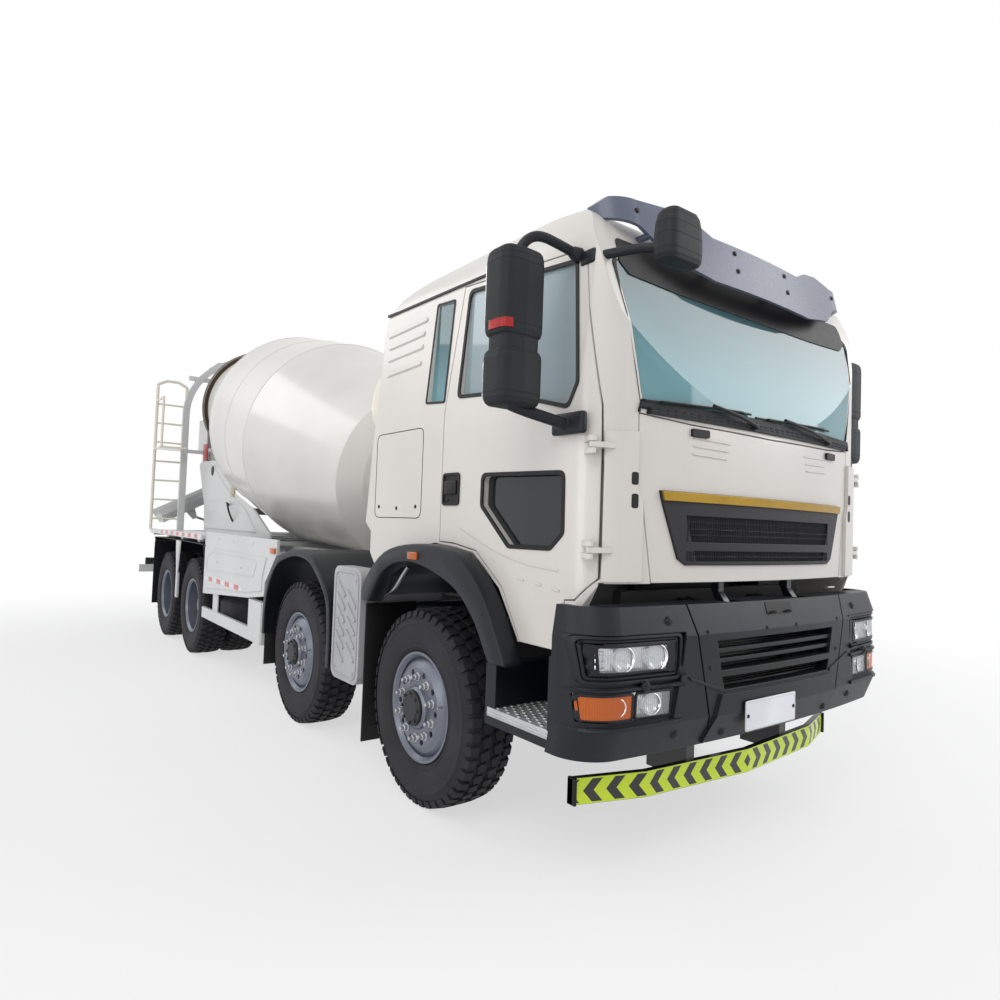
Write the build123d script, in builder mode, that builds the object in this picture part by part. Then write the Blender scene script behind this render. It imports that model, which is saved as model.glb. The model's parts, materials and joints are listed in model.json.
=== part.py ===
"""Concrete mixer truck, four axles, as separate named pieces.

Millimetres. +X forward, +Y to the truck's left, +Z up. The origin is on the ground at the middle
of the overall length. Every piece is drawn at its place on the parked truck.
"""
import os
from math import cos, radians, sin, tan

from build123d import *

os.makedirs("parts", exist_ok=True)

# Axles and wheels
AXLE_1 = 3300.0
AXLE_2 = 1470.0
AXLE_3 = -1710.0
AXLE_4 = -3060.0
HUB_Z = 540.0
TYRE_R = 540.0
TYRE_W = 300.0
RIM_R = 302.0
FRONT_WHEEL_Y = 1015.0
TWIN_OUTER_Y = 1057.0
TWIN_INNER_Y = 717.0
TWIN_DISC_Y = 887.0
KINGPIN_Y = 880.0
KINGPIN_R = 25.0
SPINDLE_R = 40.0
RUNNING_FIT = 0.05
STUD_CIRCLE_R = 167.5

# Frame
RAIL_Y = 430.0
RAIL_BOTTOM = 760.0
RAIL_TOP = 1060.0
RAIL_FRONT = 4400.0
RAIL_REAR = -4480.0
SUBFRAME_TOP = 1270.0
DECK_TOP = 1345.0

# Cab
CAB_Y = 1125.0
CAB_WALL = 58.0
CAB_REAR = 2500.0
CAB_FLOOR = 1330.0
TILT_X = 4680.0
TILT_Z = 1200.0
DOOR_HINGE_X = 4596.0
DOOR_HINGE_Y = 1133.0
GAP = 6.0

# Drum: the axis runs back and up from the front seam
DRUM_X = 1225.0
DRUM_Z = 1967.0
DRUM_TILT = radians(14.2)
DRUM_R = 1100.0
DRUM_SEAM_R = 790.0
DRUM_CONE_END = 1650.0
DRUM_CYL_END = 3013.0
DRUM_MOUTH = 5040.0
DRUM_MOUTH_R = 561.0
DRUM_WALL = 8.0
RING_S = 4640.0
RING_R = 810.0
RING_W = 90.0
AXIS_DIR = (-cos(DRUM_TILT), 0.0, sin(DRUM_TILT))

# Chute
SWIVEL_X = -4440.0
CHUTE_PIVOT_Y = -110.0
CHUTE_PIVOT_Z = 1880.0
CHUTE_SLOPE = radians(28.0)
CHUTE_LENGTH = 1200.0
JACK_FOOT = (SWIVEL_X, -120.0, 1400.0)
JACK_EYE = (SWIVEL_X, -585.0, 1544.0)
JACK_ROD_R = 18.0


def on_axis(s, r=0.0):
    """Point on the drum's middle plane: s along the axis, r square to it and upward."""
    return (
        DRUM_X - s * cos(DRUM_TILT) + r * sin(DRUM_TILT),
        0.0,
        DRUM_Z + s * sin(DRUM_TILT) + r * cos(DRUM_TILT),
    )


def block(x, y, z, mode=Mode.ADD):
    """Box between the low and high value of each direction."""
    with Locations(((x[0] + x[1]) / 2, (y[0] + y[1]) / 2, (z[0] + z[1]) / 2)):
        Box(abs(x[1] - x[0]), abs(y[1] - y[0]), abs(z[1] - z[0]), mode=mode)


def rounded(points):
    """Lines and arcs along a closed outline; a corner's third value is its radius."""
    joints = []
    for i, point in enumerate(points):
        corner = Vector(point[0], point[1], 0)
        back = (Vector(*points[i - 1][:2], 0) - corner).normalized()
        ahead = (Vector(*points[(i + 1) % len(points)][:2], 0) - corner).normalized()
        radius = point[2] if len(point) > 2 else 0
        half = radians(back.get_angle(ahead) / 2)
        middle = (back + ahead).normalized() * (radius / sin(half) - radius)
        reach = radius / tan(half)
        joints.append((corner + back * reach, corner + middle, corner + ahead * reach, radius))
    for i, (start, middle, end, radius) in enumerate(joints):
        if radius:
            ThreePointArc(start, middle, end)
        Line(end, joints[(i + 1) % len(joints)][0])


def face(plane, points, radius=0.0):
    """Closed outline on a plane, its corners rounded one by one or all by one radius."""
    with BuildSketch(plane) as outline:
        with BuildLine():
            if max(len(point) for point in points) > 2:
                rounded(points)
            else:
                Polyline(*points, close=True)
        make_face()
        if radius:
            fillet(outline.vertices(), radius)
    return outline.sketch


def plate_y(points, y, radius=0.0, mode=Mode.ADD):
    """Outline in x and z, as thick as the two y values tell."""
    low, high = min(y), max(y)
    plane = Plane(origin=(0, high, 0), x_dir=(1, 0, 0), z_dir=(0, -1, 0))
    extrude(face(plane, points, radius), amount=high - low, mode=mode)


def plate_x(points, x, radius=0.0, mode=Mode.ADD):
    """Outline in y and z, as thick as the two x values tell."""
    low, high = min(x), max(x)
    plane = Plane(origin=(low, 0, 0), x_dir=(0, 1, 0), z_dir=(1, 0, 0))
    extrude(face(plane, points, radius), amount=high - low, mode=mode)


def plate_z(points, z, radius=0.0, mode=Mode.ADD):
    """Outline in x and y, as thick as the two z values tell."""
    low, high = min(z), max(z)
    plane = Plane(origin=(0, 0, low), x_dir=(1, 0, 0), z_dir=(0, 0, 1))
    extrude(face(plane, points, radius), amount=high - low, mode=mode)


def rod(start, end, radius, mode=Mode.ADD):
    """Round bar between two points."""
    way = Vector(*end) - Vector(*start)
    plane = Plane(origin=start, z_dir=tuple(way.normalized()))
    with BuildSketch(plane) as section:
        Circle(radius)
    extrude(section.sketch, amount=way.length, mode=mode)


def turned_y(x, y, z, points, mode=Mode.ADD):
    """Outline of (y offset, radius) turned about an axle along Y."""
    plane = Plane(origin=(x, y, z), x_dir=(0, 1, 0), z_dir=(1, 0, 0))
    revolve(face(plane, points), axis=Axis((x, y, z), (0, 1, 0)), mode=mode)


def turned_drum(points, mode=Mode.ADD):
    """Outline of (distance along the axis, radius) turned about the drum's axis."""
    start = on_axis(0)
    plane = Plane(origin=start, x_dir=AXIS_DIR, z_dir=(0, 1, 0))
    revolve(face(plane, points), axis=Axis(start, AXIS_DIR), mode=mode)


def save(name, part, title):
    """Label a piece and write it."""
    part.label = title
    export_step(part, f"parts/{name}.step")



# Frame: two C rails and their crossmembers
CROSSMEMBERS = (4340, 2060, 900, 300, -400, -1150, -2385, -3700, -4440)

with BuildPart() as chassis_frame:
    for side in (-1, 1):
        block((RAIL_REAR, RAIL_FRONT), (side * RAIL_Y, side * (RAIL_Y - 8)), (RAIL_BOTTOM, RAIL_TOP))
        for z in (RAIL_BOTTOM, RAIL_TOP - 8):
            block((RAIL_REAR, RAIL_FRONT), (side * RAIL_Y, side * (RAIL_Y - 90)), (z, z + 8))
    for x in CROSSMEMBERS:
        block((x - 40, x + 40), (8 - RAIL_Y, RAIL_Y - 8), (RAIL_BOTTOM + 100, RAIL_TOP - 60))
    # beam behind the bumper, under the front of the cab
    block((4380, 4430), (-760, 760), (1090, 1280))
    for side in (-1, 1):
        block((4330, 4400), (side * 350, side * 420), (1052, 1200))
    # brackets and pins of the cab's tilt hinge
    for side in (-1, 1):
        for y in (255, 325):
            plate_y([(4420, 1100), (4420, 1240), (4560, 1228), (4690, 1222), (4702, 1212), (4702, 1188),
                     (4690, 1178), (4600, 1150)], (side * y, side * (y + 20)))
        rod((TILT_X, side * 252, TILT_Z), (TILT_X, side * 348, TILT_Z), 15)
    # towing jaws: two ears and a pin hole at the rear, the same at the front
    for x0, x1, hole in ((-4610, -4470, -4560), (4380, 4540, 4490)):
        for z in (840, 930):
            block((x0, x1), (-70, 70), (z, z + 25))
        rod((hole, 0, 830), (hole, 0, 960), 22, mode=Mode.SUBTRACT)
save("chassis_frame", chassis_frame.part, "chassis frame")

# Front axle beams, dropped between the kingpins, with their leaf springs
with BuildPart() as front_axles:
    for x in (AXLE_1, AXLE_2):
        beam = [(-830, 490), (-740, 480), (-600, 400), (600, 400), (740, 480), (830, 490), (830, 590),
                (700, 590), (560, 500), (-560, 500), (-700, 590), (-830, 590)]
        plate_x(beam, (x - 44, x + 44))
        for side in (-1, 1):
            block((x - 44, x + 44), (side * 826, side * KINGPIN_Y), (490, 590))
            rod((x, side * KINGPIN_Y, 490), (x, side * KINGPIN_Y, 590), 44)
            rod((x, side * KINGPIN_Y, 480), (x, side * KINGPIN_Y, 600), KINGPIN_R + RUNNING_FIT,
                mode=Mode.SUBTRACT)
            block((x - 60, x + 60), (side * 345, side * 425), (500, 630))
            leaf = [(x - 760, 745), (x - 760, 725), (x - 300, 640), (x - 100, 612), (x + 100, 612),
                    (x + 300, 640), (x + 760, 725), (x + 760, 745), (x + 300, 690), (x, 675),
                    (x - 300, 690)]
            plate_y(leaf, (side * 345, side * 425))
            for end in (-760, 760):
                block((x + end - 35, x + end + 35), (side * 350, side * 420), (700, 760))
save("front_axles", front_axles.part, "front axle beams")

# Rear axles: banjo, tubes, wheel spindles and the inverted spring packs on their trunnions
with BuildPart() as rear_axles:
    for x in (AXLE_3, AXLE_4):
        rod((x, -620, HUB_Z), (x, 620, HUB_Z), 75)
        turned_y(x, 0, HUB_Z, [(-230, 0), (-230, 110), (-120, 200), (120, 200), (230, 110), (230, 0)])
        for side in (-1, 1):
            rod((x, side * 600, HUB_Z), (x, side * 1000, HUB_Z), SPINDLE_R)
            block((x - 70, x + 70), (side * 455, side * 545), (600, 670))
    bogie = (AXLE_3 + AXLE_4) / 2
    for side in (-1, 1):
        pack = [(AXLE_4 - 60, 657), (AXLE_4 + 300, 690), (bogie - 120, 760), (bogie + 120, 760),
                (AXLE_3 - 300, 690), (AXLE_3 + 60, 657), (AXLE_3 + 60, 680), (AXLE_3 - 300, 740),
                (bogie + 120, 860), (bogie - 120, 860), (AXLE_4 + 300, 740), (AXLE_4 - 60, 680)]
        plate_y(pack, (side * 455, side * 545))
        block((bogie - 130, bogie + 130), (side * 432, side * 560), (640, 759))
save("rear_axles", rear_axles.part, "rear drive axles")

# Engine, gearbox and cooling pack as plain masses
with BuildPart() as powertrain:
    block((2950, 4080), (-330, 330), (640, 1480))
    block((2200, 2950), (-230, 230), (680, 1150))
    block((4130, 4260), (-330, 330), (780, 1500))
    block((4080, 4130), (-60, 60), (1000, 1120))
    rod((2210, 0, 800), (-1500, 0, 640), 45)
    rod((-1915, 0, 560), (-2855, 0, 560), 45)
save("powertrain", powertrain.part, "engine, gearbox and radiator")

# Fuel tank on the left side
with BuildPart() as fuel_tank:
    plate_x([(560, 560), (1120, 560), (1120, 1180), (560, 1180)], (-80, 600), 90)
    for x in (60, 400):
        block((x, x + 60), (432, 562), (830, 1000))
save("fuel_tank", fuel_tank.part, "fuel tank")

# Exhaust treatment box with its ribbed cover, and a battery box opposite
with BuildPart() as side_boxes:
    for side in (-1, 1):
        plate_x([(side * 1118, 560), (side * 600, 560), (side * 600, 1200), (side * 1118, 1200)],
                (2290, 2640), 60)
        plate_y([(2262, 525), (2672, 525), (2672, 1262), (2262, 1262)], (side * 1222, side * 1119), 70)
        block((2400, 2520), (side * 602, side * 432), (850, 1000))
save("side_boxes", side_boxes.part, "exhaust treatment box and battery box")

# Spare wheel lying in its cradle behind the right-hand skirt
with BuildPart() as spare_wheel:
    plane = Plane(origin=(-520, -640, 600), x_dir=(0, 0, 1), z_dir=(0, 1, 0))
    tyre = [(-115, 300), (-140, 330), (-150, 420), (-140, 500), (-115, 530), (-90, 540), (90, 540),
            (115, 530), (140, 500), (150, 420), (140, 330), (115, 300)]
    revolve(face(plane, tyre), axis=Axis((-520, -640, 600), (0, 0, 1)))
    rim = [(-115, 301), (-115, 270), (-30, 262), (-30, 90), (-18, 90), (-18, 240), (100, 255), (115, 301)]
    revolve(face(plane, rim), axis=Axis((-520, -640, 600), (0, 0, 1)))
save("spare_wheel", spare_wheel.part, "spare wheel")

# Mixer subframe with the front pedestal and the sleeve of the chute's swivel
with BuildPart() as mixer_subframe:
    for side in (-1, 1):
        block((-4460, 2250), (side * 345, side * 425), (RAIL_TOP, SUBFRAME_TOP))
        plate_y([(1560, SUBFRAME_TOP), (2080, SUBFRAME_TOP), (1960, 1600), (1640, 1540)],
                (side * 345, side * 375))
        block((SWIVEL_X - 8, SWIVEL_X + 8), (side * 69, side * 345), (1080, 1240))
        for x in (1000, -200, -1300):
            block((x - 5, x + 5), (side * RAIL_Y, side * 445), (980, 1180))
            block((x - 5, x + 5), (side * 425, side * 445), (RAIL_TOP, 1180))
    for x in (2150, 800, 0, -900, -1800, -2700, -3600, -4200):
        block((x - 40, x + 40), (-345, 345), (RAIL_TOP + 10, 1180))
    plate_y([(1640, 1510), (1960, 1570), (1960, 1600), (1640, 1540)], (-375, 375))
    rod((SWIVEL_X, 0, 1001), (SWIVEL_X, 0, 1290), 70)
    rod((SWIVEL_X, 0, 1001), (SWIVEL_X, 0, 1290), 45 + RUNNING_FIT, mode=Mode.SUBTRACT)
save("mixer_subframe", mixer_subframe.part, "mixer subframe and front pedestal")

with BuildPart() as drum_reducer:
    turned_drum([(-700, 0), (-700, 150), (-640, 190), (-470, 190), (-430, 230), (-300, 230), (-300, 0)])
    plate_y([(1650, 1543), (1950, 1600), (1900, 1740), (1690, 1690)], (-190, 190))
save("drum_reducer", drum_reducer.part, "drum reducer")

# Rear pedestal: two sloping side plates, cross beams, and the brackets of the two rollers
PEDESTAL_SIDE = [(-3240, SUBFRAME_TOP), (-560, SUBFRAME_TOP), (-560, 1390), (-1300, 1720),
                 (-2130, 2010), (-2700, 2290), (-3560, 2320), (-3660, 2270), (-3300, 1700)]
ROLLER_ANGLE = radians(37)
ROLLER_R = 110.0
ROLLER_OUT = RING_R + ROLLER_R + 1


def roller_point(side, s):
    """Centre of a roller at a distance along the drum's axis."""
    x, _, z = on_axis(s, -ROLLER_OUT * cos(ROLLER_ANGLE))
    return (x, side * ROLLER_OUT * sin(ROLLER_ANGLE), z)


with BuildPart() as rear_pedestal:
    for side in (-1, 1):
        plate_y(PEDESTAL_SIDE, (side * 700, side * 725))
        plate_y([(-3180, 1400), (-1000, 1400), (-1400, 1640), (-2200, 1900), (-2750, 2160), (-3480, 2180),
                 (-3200, 1700)], (side * 715, side * 740))
    # cross beams on the subframe; the outer ones carry the deck
    for x, reach in ((-3100, 1200), (-2300, 1200), (-1500, 1200), (-700, 725)):
        block((x - 50, x + 50), (-reach, reach), (SUBFRAME_TOP, 1311))
    block((-3560, -3360), (-700, 700), (2190, 2290))
    for x in (-2350, -3150):
        block((x - 30, x + 30), (-700, 700), (1600, 1680))
    rod((-2890, -726, 2160), (-2890, -740, 2160), 90)
    turned_drum([(-300, 0), (-300, 830), (DRUM_CONE_END, DRUM_R + 35), (DRUM_CYL_END, DRUM_R + 35),
                 (DRUM_MOUTH + 10, DRUM_MOUTH_R + 35), (DRUM_MOUTH + 10, 0)], mode=Mode.SUBTRACT)
    turned_drum([(4540, 0), (4540, 845), (4740, 845), (4740, 0)], mode=Mode.SUBTRACT)
    for side in (-1, 1):
        rod(roller_point(side, RING_S - 60), roller_point(side, RING_S + 60), ROLLER_R)
        for s0 in (RING_S - 95, RING_S + 75):
            x, y, z = roller_point(side, s0)
            plate_x([(y - side * 90, z + 20), (y + side * 90, z + 20), (y + side * 120, 2230),
                     (y - side * 120, 2230)], (x - 10, x + 10))
            rod(roller_point(side, s0), roller_point(side, s0 + 20), 30)
        # guard plate outside the roller
        plate_y([(-3570, 2290), (-3340, 2290), (-3340, 2520), (-3420, 2560), (-3570, 2560)],
                (side * 700, side * 708))
save("rear_pedestal", rear_pedestal.part, "rear pedestal with rollers")

# Drum with its raceway ring on a conical web
with BuildPart() as drum_shell:
    turned_drum([(-290, 0), (-290, 260), (-240, 330), (-120, 600), (0, DRUM_SEAM_R),
                 (DRUM_CONE_END, DRUM_R), (DRUM_CYL_END, DRUM_R), (DRUM_MOUTH, DRUM_MOUTH_R),
                 (DRUM_MOUTH, DRUM_MOUTH_R - 8), (DRUM_CYL_END, DRUM_R - 8),
                 (DRUM_CONE_END, DRUM_R - 8), (0, DRUM_SEAM_R - 9), (-115, 590), (-235, 320),
                 (-270, 250), (-270, 0)])
    turned_drum([(RING_S - 150, 700), (RING_S - 20, RING_R - 42), (RING_S - 45, RING_R - 42),
                 (RING_S - 45, RING_R), (RING_S + 45, RING_R), (RING_S + 45, RING_R - 42),
                 (RING_S, RING_R - 42), (RING_S, 660), (RING_S - 20, 664), (RING_S - 140, 692)])
save("drum_shell", drum_shell.part, "mixing drum")

# Hopper and collector at the rear: sheet funnels between two rectangles


def funnel(top, low, sheet):
    """Open funnel of a sheet between two rectangles, each (x low, x high, half width, z)."""
    for grow, mode in ((0, Mode.ADD), (-sheet, Mode.SUBTRACT)):
        rings = []
        for x0, x1, half, z in (low, top):
            reach = 1 if (grow and z == top[3]) else (-1 if grow else 0)
            corners = [(x0 - grow, -half - grow), (x1 + grow, -half - grow), (x1 + grow, half + grow),
                       (x0 - grow, half + grow)]
            rings.append(face(Plane.XY.offset(z + reach), corners))
        loft(rings, ruled=True, mode=mode)


# The arch behind the drum carries the hopper
ARCH_X = -3900.0
ARCH_Z = 3000.0
with BuildPart() as hopper:
    with BuildSketch(Plane(origin=(ARCH_X - 30, 0, 0), x_dir=(0, 1, 0), z_dir=(1, 0, 0))) as arch:
        with Locations((0, ARCH_Z)):
            Circle(930)
            Circle(845, mode=Mode.SUBTRACT)
            with Locations((0, -1000)):
                Rectangle(2000, 2000, mode=Mode.SUBTRACT)
        for side in (-1, 1):
            with Locations((side * 887.5, (ARCH_Z + DECK_TOP) / 2)):
                Rectangle(85, ARCH_Z - DECK_TOP)
    extrude(amount=60)
    for side in (-1, 1):
        block((ARCH_X - 25, ARCH_X + 25), (side * 400, side * 870), (3500, 3560))
    funnel((-4450, -3945, 470, 3830), (-3980, -3720, 250, 3330), 6)
save("hopper", hopper.part, "charging hopper on its arch")

with BuildPart() as collector:
    for side in (-1, 1):
        block((ARCH_X - 25, ARCH_X + 25), (side * 500, side * 845), (2450, 2500))
    funnel((-4500, -3690, 560, 2540), (-4560, -4330, 150, 2230), 6)
    block((-4560, -4330), (-150, 150), (2090, 2230))
    block((-4554, -4336), (-144, 144), (2080, 2240), mode=Mode.SUBTRACT)
    for side in (-1, 1):
        block((-4500, -3990), (side * 554, side * 560), (2539, 3000))
    block((-4500, -4494), (-560, 560), (2539, 3000))
save("collector", collector.part, "discharge collector")

# Turntable column in its sleeve, chute, and the jack that holds the chute up
with BuildPart() as chute_turntable:
    rod((SWIVEL_X, 0, 1003), (SWIVEL_X, 0, 1900), 45)
    for x in (SWIVEL_X - 42, SWIVEL_X + 30):
        block((x, x + 12), (-150, -20), (1380, 1460))
        block((x, x + 12), (-140, -20), (1840, 1895))
    rod((SWIVEL_X - 30, JACK_FOOT[1], JACK_FOOT[2]), (SWIVEL_X + 30, JACK_FOOT[1], JACK_FOOT[2]), 12)
    rod((SWIVEL_X - 60, CHUTE_PIVOT_Y, CHUTE_PIVOT_Z), (SWIVEL_X + 60, CHUTE_PIVOT_Y, CHUTE_PIVOT_Z), 12)
save("chute_turntable", chute_turntable.part, "chute turntable")

CHUTE_SECTION = [(-280, 200), (-280, 110), (-150, 0), (150, 0), (280, 110), (280, 200), (274, 200),
                 (274, 113), (148, 6), (-148, 6), (-274, 113), (-274, 200)]
CHUTE_DOWN = (0, -cos(CHUTE_SLOPE), -sin(CHUTE_SLOPE))
CHUTE_START = (SWIVEL_X, CHUTE_PIVOT_Y + 160 * cos(CHUTE_SLOPE), CHUTE_PIVOT_Z + 50 + 160 * sin(CHUTE_SLOPE))



def on_chute(distance, rise):
    """Point (y, z) at a distance down the trough and a rise square to its bottom."""
    return (CHUTE_START[1] - distance * cos(CHUTE_SLOPE) - rise * sin(CHUTE_SLOPE),
            CHUTE_START[2] - distance * sin(CHUTE_SLOPE) + rise * cos(CHUTE_SLOPE))


with BuildPart() as chute:
    extrude(face(Plane(origin=CHUTE_START, x_dir=(1, 0, 0), z_dir=CHUTE_DOWN), CHUTE_SECTION),
            amount=CHUTE_LENGTH)
    pivot_ear = [on_chute(120, 2), on_chute(250, 2), on_chute(215, -72), on_chute(150, -72)]
    jack_ear = [on_chute(700, 2), on_chute(830, 2), on_chute(790, -150), on_chute(732, -150)]
    for side in (-1, 1):
        for outline, near, far in ((pivot_ear, 46, 58), (jack_ear, 22, 34)):
            plane = Plane(origin=(SWIVEL_X + side * (near + far) / 2 - 6, 0, 0), x_dir=(0, 1, 0),
                          z_dir=(1, 0, 0))
            extrude(face(plane, outline), amount=12)
    rod((SWIVEL_X - 70, CHUTE_PIVOT_Y, CHUTE_PIVOT_Z), (SWIVEL_X + 70, CHUTE_PIVOT_Y, CHUTE_PIVOT_Z),
        12 + RUNNING_FIT, mode=Mode.SUBTRACT)
save("chute", chute.part, "discharge chute")

JACK_WAY = (Vector(*JACK_EYE) - Vector(*JACK_FOOT)).normalized()


def along_jack(distance):
    """Point on the jack's line, counted from its foot."""
    return tuple(Vector(*JACK_FOOT) + JACK_WAY * distance)


def across(point, half):
    """End points of a pin along X through a point."""
    return (point[0] - half, point[1], point[2]), (point[0] + half, point[1], point[2])


with BuildPart() as jack_barrel:
    rod(*across(JACK_FOOT, 28), 24)
    rod(along_jack(0), along_jack(330), 30)
    rod(along_jack(60), along_jack(331), JACK_ROD_R + RUNNING_FIT, mode=Mode.SUBTRACT)
    block((SWIVEL_X - 40, SWIVEL_X - 28), (-200, -60), (1360, 1480), mode=Mode.SUBTRACT)
    block((SWIVEL_X + 28, SWIVEL_X + 40), (-200, -60), (1360, 1480), mode=Mode.SUBTRACT)
    rod(*across(JACK_FOOT, 40), 12 + RUNNING_FIT, mode=Mode.SUBTRACT)
save("jack_barrel", jack_barrel.part, "chute jack barrel")

with BuildPart() as jack_rod:
    rod(along_jack(150), along_jack(475), JACK_ROD_R)
    rod(*across(JACK_EYE, 20), 24)
save("jack_rod", jack_rod.part, "chute jack rod")

# Cab volume: side outline, plan outline and front outline crossed; a third value rounds the corner
CAB_SIDE = [(2500, 1560), (2565, 2100), (2640, 2880, 190), (2760, 2985, 290), (3000, 3050, 900),
            (4000, 3085, 1500), (4480, 2985, 130), (4560, 2780, 600), (4712, 2090, 600), (4712, 1335),
            (4590, 1335), (4476, 1135), (4476, 1030), (2900, 1030), (2580, 1366), (2580, 1500)]
CAB_FRONT = [(-1125, 1000), (-1125, 2100), (-1095, 2880, 290), (-1060, 2990, 290), (-980, 3085, 125),
             (980, 3085, 125), (1060, 2990, 290), (1095, 2880, 290), (1125, 2100), (1125, 1000)]
DOOR_SIDE = [(3422, 1470), (3422, 2200), (3545, 2860), (4440, 2790), (4497, 2720), (4580, 2090),
             (4590, 1690), (4585, 1360), (4500, 1264), (4440, 1258), (4440, 1032), (4148, 1032), (4000, 1272),
             (3770, 1436), (3560, 1466)]
DOOR_WINDOW = [(3548, 2257), (3600, 2820), (4430, 2745), (4478, 2200), (4427, 2100), (3900, 2234)]
LOW_WINDOW = [(3810, 1817), (4412, 1805), (4417, 1544), (4337, 1475), (4038, 1472), (3809, 1666)]
REAR_WINDOW = [(3272, 2819), (3440, 2806), (3400, 2251), (3216, 2267)]
SCREEN = [(-884, 2110), (884, 2110), (1015, 2730), (960, 2770), (-960, 2770), (-1015, 2730)]
FLAP = [(-812, 1340), (812, 1340), (870, 1690), (900, 1750), (900, 2070), (600, 2050), (0, 2040),
        (-600, 2050), (-900, 2070), (-900, 1750), (-870, 1690)]
DEFLECTOR = [(880, 1345), (1180, 1345), (1180, 1975), (912, 1990), (912, 1745), (882, 1685)]


def grown(points, distance):
    """Closed outline with every side moved outward by a distance (inward where negative)."""
    ends = list(zip(points, points[1:] + points[:1]))
    turn = 1 if sum(a[0] * b[1] - b[0] * a[1] for a, b in ends) > 0 else -1
    normals = []
    for a, b in ends:
        way = Vector(b[0] - a[0], b[1] - a[1], 0).normalized()
        normals.append((way.Y * turn, -way.X * turn))
    moved = []
    for i, (x, z) in enumerate(points):
        a, b = normals[i - 1], normals[i]
        reach = distance / (1 + a[0] * b[0] + a[1] * b[1])
        moved.append((x + (a[0] + b[0]) * reach, z + (a[1] + b[1]) * reach))
    return moved


WHEEL_WELL = [(2690, 900), (2696, 1062), (2723, 1196), (2980, 1396), (3377, 1458), (3743, 1424),
              (3975, 1262), (4124, 1048), (4200, 900)]

# Cab from above: straight sides, corner arcs and one flat arc across the front
CAB_CORNER = (4459, 1125), (4579, 1075), (4627, 982)
with BuildPart() as cab_volume:
    plate_y(CAB_SIDE, (-CAB_Y, CAB_Y))
    with BuildSketch(Plane.XY.offset(1000)) as cab_plan:
        with BuildLine():
            right = [(x, -y) for x, y in CAB_CORNER]
            Polyline((4459, CAB_Y), (2500, CAB_Y), (2500, -CAB_Y), (4459, -CAB_Y))
            ThreePointArc(*right)
            ThreePointArc(right[2], (4712, 0), CAB_CORNER[2])
            ThreePointArc(*CAB_CORNER[::-1])
        make_face()
    extrude(amount=2100, mode=Mode.INTERSECT)
    plate_x(CAB_FRONT, (2400, 4800), mode=Mode.INTERSECT)

with BuildPart() as cab_hollow:
    plate_y([(2560, 1500), (2560, 1560), (2625, 2100), (2700, 2870), (2790, 2930), (3000, 2990),
             (4000, 3025), (4430, 2940), (4498, 2780), (4640, 2110), (4590, 2050), (4590, 1400),
             (4230, 1400), (4230, 1500)], (-CAB_Y + CAB_WALL, CAB_Y - CAB_WALL))
    plate_z([(2500, -1067), (4460, -1067), (4545, -1020), (4585, -880), (4632, -490), (4652, 0),
             (4632, 490), (4585, 880), (4545, 1020), (4460, 1067), (2500, 1067)], (1000, 3100),
            mode=Mode.INTERSECT)
    plate_x([(-1067, 1000), (-1067, 2100), (-1037, 2870), (-1005, 2960), (-950, 3027), (950, 3027),
             (1005, 2960), (1037, 2870), (1067, 2100), (1067, 1000)], (2400, 4800),
            mode=Mode.INTERSECT)

CAB_SOLID = cab_volume.part
CAB_HOLLOW = cab_hollow.part


def front_skin(outline, outer, inner):
    """Layer of the cab's front inside an outline in y and z, between two depths under its surface."""
    with BuildPart() as layer:
        add(Pos(-outer, 0, 0) * CAB_SOLID)
        plate_x(outline, (4560, 4800), mode=Mode.INTERSECT)
        add(Pos(-inner, 0, 0) * CAB_SOLID, mode=Mode.SUBTRACT)
    return layer.part


def corner_skin(side):
    """Raised corner panel between the service flap and the door."""
    with BuildPart() as layer:
        add(Pos(16, side * 10, 0) * CAB_SOLID)
        plate_x([(side * y, z) for y, z in DEFLECTOR], (4606, 4800), mode=Mode.INTERSECT)
        add(Pos(-20, 0, 0) * CAB_SOLID, mode=Mode.SUBTRACT)
    return layer.part


def on_side(outline, side):
    """The outline drawn for the left, on the side asked for."""
    return [(side * y, z) for y, z in outline]


def leaf(outline, side):
    """The outline in x and y drawn for the left, on the side asked for."""
    return [(x, side * y) for x, y in outline]


HINGE_LEVELS = (1440, 1880)
CAB_LEAF = [(4598, 1035), (4582, 1122), (4582, 1139), (4589, 1146), (4602, 1146), (4626, 1096), (4632, 1040),
            (4620, 1010)]
DOOR_LEAF = [(4520, 1085), (4530, 1119), (4582, 1146), (4603, 1146), (4610, 1139), (4610, 1127),
             (4603, 1119), (4570, 1100), (4540, 1080)]

FLAP_SEAT = front_skin(grown(FLAP, GAP), -30, 50)

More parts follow.
